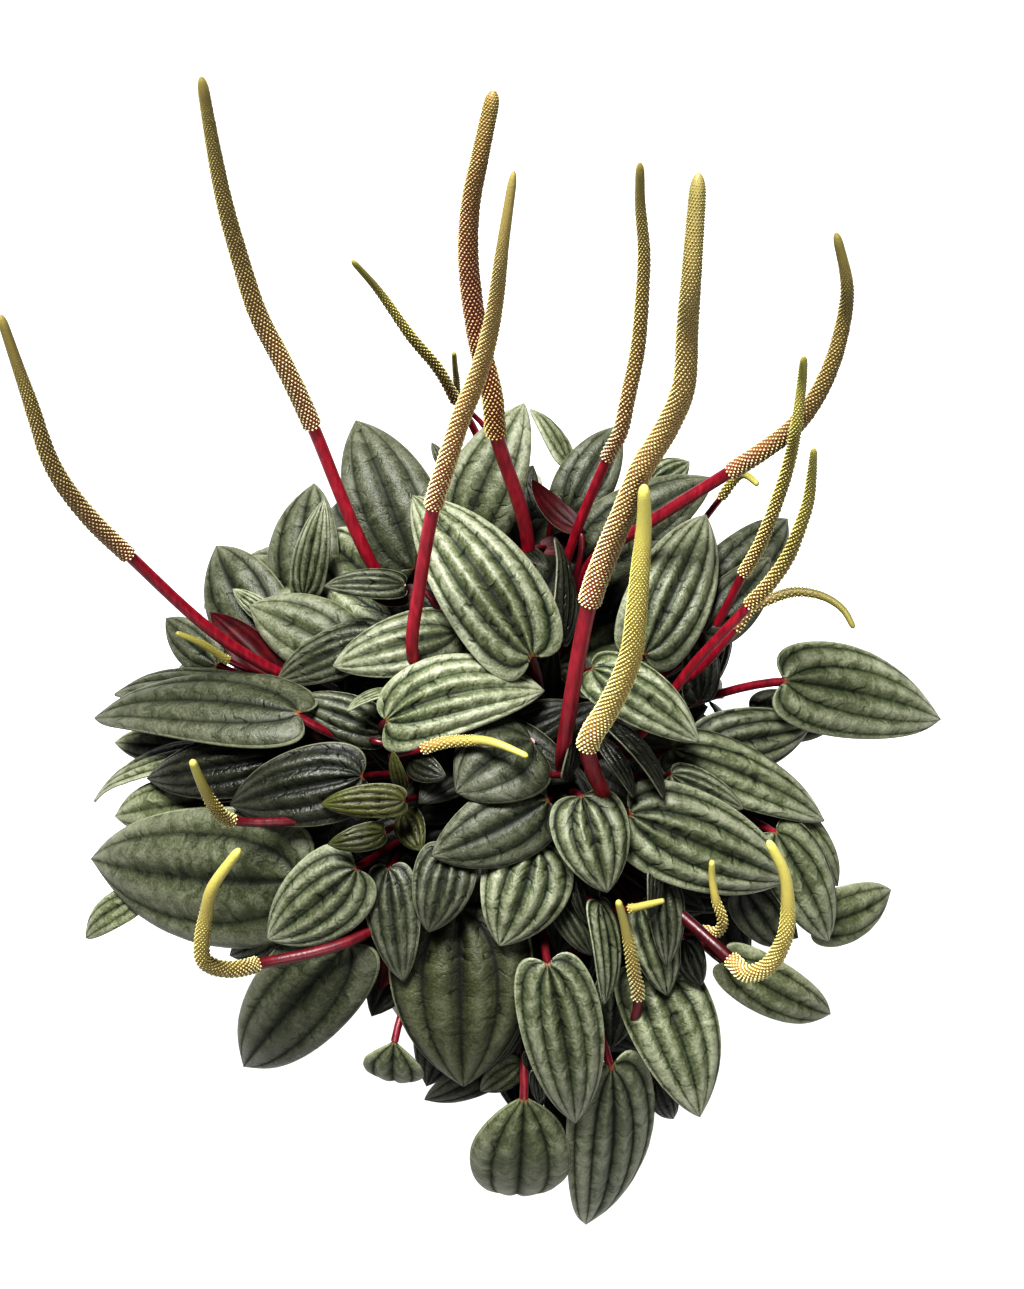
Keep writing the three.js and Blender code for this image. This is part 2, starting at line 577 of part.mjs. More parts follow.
// The stalk and the spadix of one spike, and the room that the foliage leaves round them.
function makeSpike({ stalk, spadix, depths, radii }) {
  const stations = stalk.length - 1;
  const lower = stalk.map(([across, up], i) => {
    const depth = depths[0] + ((depths[1] - depths[0]) * i) / stations;
    return sheetToPart(new THREE.Vector3(across, up, depth));
  });
  const upper = spadix.map(([across, up], i) => {
    const depth = depths[1] + ((depths[2] - depths[1]) * (i + 1)) / spadix.length;
    return sheetToPart(new THREE.Vector3(across, up, depth));
  });
  const path = [rootToward(lower[0]), ...lower, ...upper];
  const curve = new THREE.CatmullRomCurve3(path, false, "centripetal");
  const lengths = curve.getLengths(FRAME_STEPS * (lower.length + upper.length));
  const total = lengths.at(-1);
  const joint = lengths[FRAME_STEPS * lower.length] / total;
  const stalkRadius = radii[0] * STALK_RADIUS_SHARE;
  const spadixRadius = (share) => {
    const up = (share - joint) / (1 - joint);
    return THREE.MathUtils.lerp(radii[0], radii[1], up * up);
  };
  const stalkRows = Math.max(FEWEST_STALK_ROWS, Math.round((joint * total) / STALK_STEP));
  const spadixRows = Math.max(FEWEST_SPADIX_ROWS, Math.round(((1 - joint) * total) / SPADIX_STEP));
  const stalkShares = evenRows(ROOT_GAP / total, joint - SPADIX_GAP / total, stalkRows, () => stalkRadius);
  const spadixShares = evenRows(joint, 1, spadixRows, spadixRadius);
  const stalkSolid = bentTube(curve, stalkShares, STALK_SIDES);
  const spadixSolid = bentTube(curve, spadixShares, SPADIX_SIDES, FLORET_RELIEF);
  const wider = ({ share, radius }) => ({ share, radius: radius * (1 + FLORET_RELIEF) + CLEARANCE });
  const stalkRoom = [{ share: 0, radius: stalkRadius + CLEARANCE }, ...stalkShares.slice(1).map(wider)];
  const spadixRoom = bentTube(curve, spadixShares.map(wider), SPADIX_SIDES);
  return { stalkSolid, spadixSolid, room: bentTube(curve, stalkRoom, STALK_SIDES).add(spadixRoom) };
}

// ---- assembly ----
function finish(roughness, color) {
  return new THREE.MeshStandardMaterial({ color, roughness, metalness: 0 });
}

const FINISHES = {
  leaf: finish(0.5, LEAF_GREEN),
  stalk: finish(0.4, STALK_RED),
  cream: finish(0.6, SPADIX_CREAM),
  olive: finish(0.6, SPADIX_OLIVE),
  pot: finish(0.6, POT_GREY),
  soil: finish(0.95, SOIL_BROWN),
};

const plant = new THREE.Group();

function add(name, solid, material) {
  const mesh = new THREE.Mesh(toGeometry(solid), material);
  mesh.name = name;
  plant.add(mesh);
}

const LONG_BLADE = 31;
const FOOT_SHARE = 0.2;

// A blade whose foot is already in the crown needs no petiole.
function foliageBlade(blade) {
  const solid = bladeSolid(blade, 4 * blade.ridges + 1, blade.length > LONG_BLADE ? 4 : 3);
  const foot = blade.toPart(bladePoint(blade, FOOT_SHARE, 0, BLADE_THICKNESS));
  return foot.distanceTo(CROWN) < crownReach(foot) ? solid : solid.add(petioleSolid(blade));
}

const frontBlades = FRONT_LEAVES.map(frontBlade);
frontBlades.forEach(stackBehind);
const backBlades = BACK_RINGS.flatMap((ring) => {
  return Array.from({ length: ring.leaves }, (_, i) => backBlade(ring, i));
});

let foliage = makeCrown();
for (const blade of [...frontBlades, ...backBlades]) foliage = foliage.add(foliageBlade(blade));

// The oldest spikes, first in the list, have turned olive.
const OLIVE_SPIKES = 3;
const spikes = SPIKES.map(makeSpike);
for (const { room } of spikes) foliage = foliage.subtract(room);
// A scrap that the clearances cut loose is left out.
[foliage] = foliage.decompose().sort((a, b) => b.volume() - a.volume());

add("pot", makePot(), FINISHES.pot);
add("soil", makeSoil(), FINISHES.soil);
add("foliage", foliage, FINISHES.leaf);
spikes.forEach(({ stalkSolid, spadixSolid }, i) => {
  const number = String(i + 1).padStart(2, "0");
  add(`flower_stalk_${number}`, stalkSolid, FINISHES.stalk);
  add(`spadix_${number}`, spadixSolid, i < OLIVE_SPIKES ? FINISHES.olive : FINISHES.cream);
});

export default plant;
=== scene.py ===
import math

import bpy
import numpy as np
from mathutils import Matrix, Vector, noise


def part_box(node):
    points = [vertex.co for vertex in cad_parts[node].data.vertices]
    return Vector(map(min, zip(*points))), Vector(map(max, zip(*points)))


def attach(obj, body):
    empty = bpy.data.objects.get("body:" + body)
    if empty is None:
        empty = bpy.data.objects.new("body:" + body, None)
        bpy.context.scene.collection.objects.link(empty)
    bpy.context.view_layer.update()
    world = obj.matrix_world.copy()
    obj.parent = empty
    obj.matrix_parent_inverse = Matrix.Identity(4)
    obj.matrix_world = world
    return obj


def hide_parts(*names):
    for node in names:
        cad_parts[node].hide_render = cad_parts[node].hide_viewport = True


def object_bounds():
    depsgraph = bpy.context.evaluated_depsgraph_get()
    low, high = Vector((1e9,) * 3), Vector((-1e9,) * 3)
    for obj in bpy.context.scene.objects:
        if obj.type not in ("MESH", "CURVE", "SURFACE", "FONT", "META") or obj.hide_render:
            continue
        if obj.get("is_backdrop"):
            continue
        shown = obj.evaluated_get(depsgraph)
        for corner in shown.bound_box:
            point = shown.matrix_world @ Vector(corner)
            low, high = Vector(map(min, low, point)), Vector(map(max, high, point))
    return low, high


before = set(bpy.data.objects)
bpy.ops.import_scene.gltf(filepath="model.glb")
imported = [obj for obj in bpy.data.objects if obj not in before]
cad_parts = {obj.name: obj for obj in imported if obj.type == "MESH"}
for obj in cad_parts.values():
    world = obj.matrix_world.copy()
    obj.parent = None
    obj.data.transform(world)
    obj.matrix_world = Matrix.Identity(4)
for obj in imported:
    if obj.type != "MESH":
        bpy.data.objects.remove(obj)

cad_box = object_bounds()

# ---- The pot ----
# A plain round grower's pot, moulded in one piece of black polypropylene. The thin wall widens up to a
# stiff rim, and six holes in the floor let water drain. The plant and its soil simply stand in it.
MM = 0.001
pot_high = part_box("pot")[1]
POT_HEIGHT = pot_high.z
POT_RIM_RADIUS = pot_high.x
POT_BASE_RADIUS = 38 * MM
POT_WALL = 1.8 * MM
POT_FLOOR = 2.4 * MM
POT_SIDES = 120
RIM_HEIGHT = 9 * MM
RIM_LEDGE = 2.2 * MM
RIM_STEP = 1.1 * MM
RIM_DRAFT = 0.6 * MM
RIM_BEAD = 0.4 * MM
RIM_BLEND = 3 * MM
EDGE_ROUND = 0.5 * MM
SHARP_EDGE = math.radians(35)
DRAIN_HOLES = 6
DRAIN_RADIUS = 3.5 * MM
DRAIN_CIRCLE = 24 * MM
DRAIN_SIDES = 28


def add_object(name, vertices, faces, material, smooth=True):
    mesh = bpy.data.meshes.new(name)
    mesh.from_pydata([tuple(v) for v in vertices], [], faces)
    mesh.materials.append(material)
    mesh.polygons.foreach_set("use_smooth", [smooth] * len(mesh.polygons))
    piece = bpy.data.objects.new(name, mesh)
    bpy.context.scene.collection.objects.link(piece)
    return piece


def plain_mesh(piece):
    """Applies the piece's modifiers, so that it holds its final mesh."""
    bpy.context.view_layer.update()
    depsgraph = bpy.context.evaluated_depsgraph_get()
    final = bpy.data.meshes.new_from_object(
        piece.evaluated_get(depsgraph), preserve_all_data_layers=True, depsgraph=depsgraph
    )
    piece.modifiers.clear()
    piece.data = final
    final.name = piece.name


def turned(profile, sides):
    """A closed solid of revolution about Z. The profile's first and last points are on the axis."""
    vertices = [(0, 0, profile[0][1])]
    for radius, height in profile[1:-1]:
        for i in range(sides):
            angle = 2 * math.pi * i / sides
            vertices.append((radius * math.cos(angle), radius * math.sin(angle), height))
    vertices.append((0, 0, profile[-1][1]))
    last = len(vertices) - 1
    rings = len(profile) - 2
    faces = []
    for i in range(sides):
        j = (i + 1) % sides
        faces.append((0, 1 + j, 1 + i))
        for ring in range(rings - 1):
            low, high = 1 + ring * sides, 1 + (ring + 1) * sides
            faces.append((low + i, low + j, high + j, high + i))
        top = 1 + (rings - 1) * sides
        faces.append((top + i, top + j, last))
    return vertices, faces


def add_node(tree, kind, inputs=(), **settings):
    made = tree.nodes.new(kind)
    for name, value in settings.items():
        setattr(made, name, value)
    for key, value in dict(inputs).items():
        if isinstance(value, bpy.types.NodeSocket):
            tree.links.new(value, made.inputs[key])
        else:
            made.inputs[key].default_value = value
    return made


def maths(tree, operation, *values, clamp=False):
    settings = {"operation": operation, "use_clamp": clamp}
    return add_node(tree, "ShaderNodeMath", dict(enumerate(values)), **settings).outputs[0]


def mixed(tree, share, first, second):
    """One colour laid over another by a share of 0 to 1."""
    return add_node(tree, "ShaderNodeMix", {0: share, 6: first, 7: second}, data_type="RGBA").outputs[2]


def ramp(tree, share, stops):
    """A colour between those of these stops, each a position and its red, green and blue."""
    made = add_node(tree, "ShaderNodeValToRGB", {0: share})
    elements = made.color_ramp.elements
    while len(elements) < len(stops):
        elements.new(0.5)
    for element, (position, colour) in zip(elements, stops):
        element.position = position
        element.color = (*colour, 1)
    return made.outputs[0]


def surface(name, roughness, specular=0.5):
    """A new material, with its shader and the object's own coordinates."""
    material = bpy.data.materials.new(name)
    material.use_nodes = True
    tree = material.node_tree
    shader = tree.nodes["Principled BSDF"]
    shader.inputs["Roughness"].default_value = roughness
    shader.inputs["Specular IOR Level"].default_value = specular
    place = add_node(tree, "ShaderNodeTexCoord").outputs["Object"]
    return material, tree, shader, place


def speckle(tree, place, scale, detail=2, roughness=0.5):
    inputs = {"Vector": place, "Scale": scale, "Detail": detail, "Roughness": roughness}
    return add_node(tree, "ShaderNodeTexNoise", inputs).outputs["Fac"]


def raise_surface(tree, shader, height, distance, strength=1.0):
    inputs = {"Height": height, "Distance": distance, "Strength": strength}
    bump = add_node(tree, "ShaderNodeBump", inputs)
    tree.links.new(bump.outputs["Normal"], shader.inputs["Normal"])


def paint(tree, shader, share, stops):
    tree.links.new(ramp(tree, share, stops), shader.inputs["Base Color"])


POT_GREYS = [(0.35, (0.020, 0.021, 0.022)), (0.62, (0.030, 0.031, 0.033)), (0.8, (0.055, 0.054, 0.053))]
pot_plastic, tree, shader, place = surface("black moulded polypropylene", 0.55)
scuffs = speckle(tree, place, 90, 5, 0.6)
paint(tree, shader, scuffs, POT_GREYS)
tree.links.new(maths(tree, "MULTIPLY_ADD", scuffs, 0.35, 0.34), shader.inputs["Roughness"])
raise_surface(tree, shader, speckle(tree, place, 2600), 0.00004, 0.5)


def wall_radius(height):
    return POT_BASE_RADIUS + (POT_RIM_RADIUS - RIM_LEDGE - POT_BASE_RADIUS) * height / POT_HEIGHT


ledge = POT_HEIGHT - RIM_HEIGHT
rim_inside = POT_RIM_RADIUS - POT_WALL - RIM_BEAD
pot_profile = [
    (0, 0),
    (POT_BASE_RADIUS - 2 * EDGE_ROUND, 0),
    (POT_BASE_RADIUS - 0.3 * EDGE_ROUND, 0.3 * EDGE_ROUND),
    (wall_radius(2 * EDGE_ROUND), 2 * EDGE_ROUND),
    (wall_radius(ledge / 2), ledge / 2),
    (wall_radius(ledge), ledge),
    (POT_RIM_RADIUS - RIM_STEP, ledge),
    (POT_RIM_RADIUS - RIM_DRAFT, ledge + EDGE_ROUND),
    (POT_RIM_RADIUS, POT_HEIGHT - 2 * EDGE_ROUND),
    (POT_RIM_RADIUS - 0.3 * EDGE_ROUND, POT_HEIGHT - 0.5 * EDGE_ROUND),
    (POT_RIM_RADIUS - 1.4 * EDGE_ROUND, POT_HEIGHT),
    (rim_inside + EDGE_ROUND, POT_HEIGHT),
    (rim_inside, POT_HEIGHT - EDGE_ROUND),
    (wall_radius(ledge) - POT_WALL, ledge - RIM_BLEND),
    (wall_radius(POT_FLOOR) - POT_WALL, POT_FLOOR + EDGE_ROUND),
    (wall_radius(POT_FLOOR) - POT_WALL - EDGE_ROUND, POT_FLOOR),
    (0, POT_FLOOR),
]
pot_piece = add_object("grower_pot", *turned(pot_profile, POT_SIDES), pot_plastic)
drill_vertices, drill_faces = [], []
for hole in range(DRAIN_HOLES):
    angle = 2 * math.pi * hole / DRAIN_HOLES
    reach = 2 * POT_FLOOR
    peg = [(0, -reach), (DRAIN_RADIUS, -reach), (DRAIN_RADIUS, reach), (0, reach)]
    vertices, faces = turned(peg, DRAIN_SIDES)
    across, up = DRAIN_CIRCLE * math.cos(angle), DRAIN_CIRCLE * math.sin(angle)
    first = len(drill_vertices)
    drill_vertices += [(x + across, y + up, z) for x, y, z in vertices]
    drill_faces += [tuple(first + corner for corner in face) for face in faces]
drill = add_object("drill", drill_vertices, drill_faces, pot_plastic)
cut = pot_piece.modifiers.new("drain holes", "BOOLEAN")
cut.operation = "DIFFERENCE"
cut.solver = "EXACT"
cut.object = drill
plain_mesh(pot_piece)
bpy.data.objects.remove(drill)
pot_piece.data.set_sharp_from_angle(angle=SHARP_EDGE)
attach(pot_piece, "root")
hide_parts("pot")

# ---- The soil ----
# Peat mix that fills the pot to a finger below its rim: a dark crumbly top with fine bark and a few white
# grains of perlite. It is pressed round the crown and holds the plant.
soil_low, soil_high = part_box("soil")
SOIL_RINGS = 34
SOIL_SPOKES = 96
SOIL_ROUGHNESS = 1.1 * MM
SOIL_GRAIN = 3.5 * MM
BROAD_LUMPS = 4
FINE_SHARE = 0.6
SOIL_SINK = 1.2 * MM
SOIL_ROUNDING = 3 * MM
SOIL_FIT = 0.985
FLOOR_FIT = 0.4 * MM
PEAT_BROWNS = [(0.3, (0.008, 0.005, 0.004)), (0.55, (0.030, 0.018, 0.011)), (0.75, (0.075, 0.045, 0.026))]
PERLITE_WHITES = [(0.3, (0.38, 0.35, 0.31)), (0.6, (0.72, 0.70, 0.66))]

peat, tree, shader, place = surface("moist peat mix", 0.95, 0.2)
crumbs = speckle(tree, place, 420, 6, 0.7)
paint(tree, shader, crumbs, PEAT_BROWNS)
raise_surface(tree, shader, crumbs, 0.0006)

perlite, tree, shader, place = surface("white perlite", 0.9, 0.3)
grain = speckle(tree, place, 900, 4)
paint(tree, shader, grain, PERLITE_WHITES)
raise_surface(tree, shader, grain, 0.0002)


def soil_height(x, y):
    lump = noise.noise(Vector((x, y, 0)) / (BROAD_LUMPS * SOIL_GRAIN))
    lump += FINE_SHARE * noise.noise(Vector((x, y, 0.01)) / SOIL_GRAIN)
    return soil_high.z - SOIL_SINK + SOIL_ROUGHNESS * lump


soil_edge = soil_high.x
soil_vertices = [(0, 0, soil_height(0, 0))]
for ring in range(1, SOIL_RINGS + 1):
    radius = soil_edge * SOIL_FIT * ring / SOIL_RINGS
    for spoke in range(SOIL_SPOKES):
        angle = 2 * math.pi * spoke / SOIL_SPOKES
        x, y = radius * math.cos(angle), radius * math.sin(angle)
        soil_vertices.append((x, y, soil_height(x, y) - SOIL_ROUNDING * (radius / soil_edge) ** 8))
foot_radius = wall_radius(POT_FLOOR) - POT_WALL - FLOOR_FIT
for spoke in range(SOIL_SPOKES):
    angle = 2 * math.pi * spoke / SOIL_SPOKES
    soil_vertices.append((foot_radius * math.cos(angle), foot_radius * math.sin(angle), soil_low.z))
soil_vertices.append((0, 0, soil_low.z))
soil_faces = [(0, 1 + i, 1 + (i + 1) % SOIL_SPOKES) for i in range(SOIL_SPOKES)]
for ring in range(SOIL_RINGS):
    inner, outer = 1 + ring * SOIL_SPOKES, 1 + (ring + 1) * SOIL_SPOKES
    for i in range(SOIL_SPOKES):
        j = (i + 1) % SOIL_SPOKES
        soil_faces.append((inner + i, outer + i, outer + j, inner + j))
under = len(soil_vertices) - 1
bottom = under - SOIL_SPOKES
soil_faces += [(bottom + (i + 1) % SOIL_SPOKES, bottom + i, under) for i in range(SOIL_SPOKES)]
soil_piece = add_object("peat_soil", soil_vertices, soil_faces, peat)


def new_tree(name, sockets):
    """A Geometry Nodes tree with these named inputs, and the identifier of each."""
    made = bpy.data.node_groups.new(name, "GeometryNodeTree")
    made.interface.new_socket("Geometry", in_out="OUTPUT", socket_type="NodeSocketGeometry")
    made.interface.new_socket("Geometry", in_out="INPUT", socket_type="NodeSocketGeometry")
    keys = {}
    for label, kind in sockets.items():
        socket = made.interface.new_socket(label, in_out="INPUT", socket_type=f"NodeSocket{kind}")
        keys[label] = socket.identifier
    return made, keys, made.nodes.new("NodeGroupInput").outputs


def end_tree(tree, geometry, material):
    """The tree's last three nodes: copies made real, the material set, and the output."""
    real = add_node(tree, "GeometryNodeRealizeInstances", {0: geometry}).outputs[0]
    painted = add_node(tree, "GeometryNodeSetMaterial", {"Geometry": real, "Material": material})
    add_node(tree, "NodeGroupOutput", {0: painted.outputs[0]})


def grow(piece, tree, keys, values):
    modifier = piece.modifiers.new(tree.name, "NODES")
    modifier.node_group = tree
    for label, value in values.items():
        modifier[keys[label]] = value
    plain_mesh(piece)


# Lumps of random size and turn, scattered on all that faces up.
FACING_UP = 0.6
FLATNESS = 0.6
ANY_TURN = (6.28, 6.28, 6.28)
grit_sizes = {"Density": "Float", "Smallest": "Float", "Largest": "Float", "Seed": "Int"}
grit_tree, grit_keys, given = new_tree("grit scattered on soil", grit_sizes | {"Material": "Material"})
seed = given["Seed"]
normal = add_node(grit_tree, "GeometryNodeInputNormal").outputs[0]
height = add_node(grit_tree, "ShaderNodeSeparateXYZ", {0: normal}).outputs[2]
facing_up = add_node(grit_tree, "FunctionNodeCompare", {0: height, 1: FACING_UP}, operation="GREATER_THAN")
ground = {"Mesh": given["Geometry"], "Selection": facing_up.outputs[0], "Density": given["Density"]}
strewn = add_node(grit_tree, "GeometryNodeDistributePointsOnFaces", ground | {"Seed": seed})
lump = add_node(grit_tree, "GeometryNodeMeshIcoSphere", {"Radius": 1.0, "Subdivisions": 1})
turns = {0: (0, 0, 0), 1: ANY_TURN, "Seed": seed}
turn = add_node(grit_tree, "FunctionNodeRandomValue", turns, data_type="FLOAT_VECTOR")
spread = {2: given["Smallest"], 3: given["Largest"], "Seed": seed}
width = add_node(grit_tree, "FunctionNodeRandomValue", spread).outputs[1]
stretch = add_node(grit_tree, "ShaderNodeCombineXYZ", {0: width, 1: width})
grit_tree.links.new(maths(grit_tree, "MULTIPLY", width, FLATNESS), stretch.inputs[2])
copies = {"Points": strewn.outputs[0], "Instance": lump.outputs[0], "Rotation": turn.outputs[0]}
copies["Scale"] = stretch.outputs[0]
grains = add_node(grit_tree, "GeometryNodeInstanceOnPoints", copies)
end_tree(grit_tree, grains.outputs[0], given["Material"])

for name, material, density, smallest, largest, seed in (
    ("bark_crumbs", peat, 90000, 0.5 * MM, 1.5 * MM, 3),
    ("perlite_grains", perlite, 9000, 0.5 * MM, 1.2 * MM, 8),
):
    grit = bpy.data.objects.new(name, soil_piece.data.copy())
    bpy.context.scene.collection.objects.link(grit)
    sizes = {"Density": density, "Smallest": smallest, "Largest": largest, "Seed": seed, "Material": material}
    grow(grit, grit_tree, grit_keys, sizes)
    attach(grit, "root")
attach(soil_piece, "root")
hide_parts("soil")

# ---- The crown ----
# The crowded short stems that every leaf and flower stalk grows from. They are fleshy and crimson, packed
# into a dome that a short stub roots in the soil, and hardly show between the leaves. Their crimson is
# painted nearly black, as painted shade for the gaps they show through.
CROWN_RADIUS = 54.0
CROWN_DEPTH_SHARE = 0.86
CROWN_SETBACK = 9.0
CROWN_BOTTOM = 87.0
CROWN_TOP = 139.0
CROWN_SHARE = 0.8
CROWN_PROFILE = [(0, 0), (0.72, 0), (1, 0.2), (0.95, 0.5), (0.76, 0.75), (0.42, 0.93), (0, 1)]
STUB_RADIUS = 17.0
STUB_BOTTOM = 60.4
STUB_FOOT = 0.8
CROWN_PEAK = 0.985
CROWN_SIDES = 72
CROWN_PARTS = (0, 0.25, 0.5, 0.75)
CROWN_BLEND = 6
KNOB_SIZE = 5
KNOB_SHARE = 0.045
# painted shade: the crown's crimson is darkened almost to black for the shade between the leaves
CROWN_REDS_IN_PAINTED_SHADE = [(0.3, (0.003, 0.001, 0.001)), (0.6, (0.012, 0.003, 0.004)), (0.8, (0.04, 0.006, 0.008))]

crown_flesh, tree, shader, place = surface("crimson crown in painted shade", 0.6, 0.35)
upright = add_node(tree, "ShaderNodeMapping", {"Vector": place, "Scale": (1, 1, 0.25)}).outputs[0]
strands = speckle(tree, upright, 500, 4)
paint(tree, shader, strands, CROWN_REDS_IN_PAINTED_SHADE)
raise_surface(tree, shader, strands, 0.0008)

crown_rows = [
    (0, STUB_BOTTOM),
    (STUB_RADIUS * STUB_FOOT, STUB_BOTTOM),
    (STUB_RADIUS, STUB_BOTTOM + 1),
    (STUB_RADIUS, CROWN_BOTTOM - 1),
]
for (radius, share), (next_radius, next_share) in zip(CROWN_PROFILE[1:-1], CROWN_PROFILE[2:]):
    for part in CROWN_PARTS:
        width = CROWN_SHARE * CROWN_RADIUS * (radius + (next_radius - radius) * part)
        rise = (CROWN_TOP - CROWN_BOTTOM) * (share + (next_share - share) * part) * CROWN_SHARE
        crown_rows.append((width, CROWN_BOTTOM + rise))
crown_rows.append((0, CROWN_TOP * CROWN_PEAK))
crown_vertices, crown_faces = turned(crown_rows, CROWN_SIDES)
crown_places = []
for x, y, z in crown_vertices:
    grown = min(1, max(0, (z - CROWN_BOTTOM) / CROWN_BLEND))
    knob = 1 + KNOB_SHARE * grown * noise.noise(Vector((x, y, z)) / KNOB_SIZE)
    y = y * (1 - (1 - CROWN_DEPTH_SHARE) * grown) + CROWN_SETBACK * grown
    crown_places.append((x * knob * MM, y * MM, z * MM))
crown_piece = add_object("crown", crown_places, crown_faces, crown_flesh)
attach(crown_piece, "root")
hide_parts("foliage")

# ---- How the leaves lie ----
# Leaves and spikes are laid out on a sheet through the mound that faces the front from 60 degrees above
# the floor. A place on it is [across, up] in millimetres. Depth stands out of the sheet, and what stands
# out is drawn in toward its middle, as it lines up for an eye at the sheet's distance.
SHEET_MIDDLE = np.array([0.0, 36.0, 121.0])
SHEET_ELEVATION = math.radians(60)
EYE_DISTANCE = 480.0
MOUND_DEPTH = 62.0
MOUND_MIDDLE_UP = -32.0
MOUND_REACH = 128.0
BASE_SINK = 4.0
TIP_RISE = 2.0
NARROWEST = 0.38


def sheet_to_part(places):
    places = np.asarray(places, float)
    across, up, depth = places[..., 0], places[..., 1], places[..., 2]
    scale = 1 - depth / EYE_DISTANCE
    across, up = across * scale, up * scale
    sine, cosine = math.sin(SHEET_ELEVATION), math.cos(SHEET_ELEVATION)
    return SHEET_MIDDLE + np.stack([across, up * sine - depth * cosine, up * cosine + depth * sine], -1)


def mound_depth(across, up):
    return MOUND_DEPTH * (1 - (across**2 + (up - MOUND_MIDDLE_UP) ** 2) / MOUND_REACH**2)


def unit(vector):
    return vector / np.linalg.norm(vector)


LEAST_ARCH = 0.05
MOST_ARCH = 0.13
MOST_BEND = 0.09
MOST_TWIST = 0.16
leaf_dice = np.random.default_rng(5)


def make_blade(base, tip, outward, width, to_part, look, bend=None, arch=None, lobes=1.0):
    """A blade from its foot to its tip, with its own arch, its sideways bend and its twist."""
    along = tip - base
    length = np.linalg.norm(along)
    along = along / length
    face = unit(outward - along * (outward @ along))
    blade = {"base": base, "along": along, "face": face, "across": np.cross(face, along)}
    blade |= {"length": length, "width": width, "to_part": to_part, "look": look}
    dealt = leaf_dice.uniform(-1, 1, 3)
    blade["arch"] = LEAST_ARCH + (MOST_ARCH - LEAST_ARCH) * (0.5 + dealt[0] / 2) if arch is None else arch
    blade["bend"] = MOST_BEND * dealt[1] if bend is None else bend
    blade["twist"] = MOST_TWIST * dealt[2]
    blade["lobes"] = lobes
    return blade


def front_blade(row):
    foot_across, foot_up, tip_across, tip_up, shown_width, hang, look, *shape = row
    base = np.array([foot_across, foot_up, mound_depth(foot_across, foot_up) - BASE_SINK])
    tip = np.array([tip_across, tip_up, mound_depth(tip_across, tip_up) + TIP_RISE - hang])
    middle = (base + tip) / 2
    fall = 2 * MOUND_DEPTH / MOUND_REACH**2
    outward = unit(np.array([fall * middle[0], fall * (middle[1] - MOUND_MIDDLE_UP), 1]))
    blade = make_blade(base, tip, outward, shown_width, sheet_to_part, look, *shape)
    blade["width"] = shown_width / math.hypot(blade["across"][0], blade["across"][1])
    # A blade that shows narrower than leaves are is turned about its length, its outer side down.
    full_width = max(blade["width"], NARROWEST * blade["length"])
    radial = np.array([middle[0], middle[1] - MOUND_MIDDLE_UP, 0])
    turn = math.acos(min(1, blade["width"] / full_width)) * (-1 if blade["across"] @ radial > 0 else 1)
    blade["face"] = math.cos(turn) * blade["face"] + math.sin(turn) * np.cross(blade["along"], blade["face"])
    blade["across"] = np.cross(blade["face"], blade["along"])
    blade["width"] = full_width
    return blade


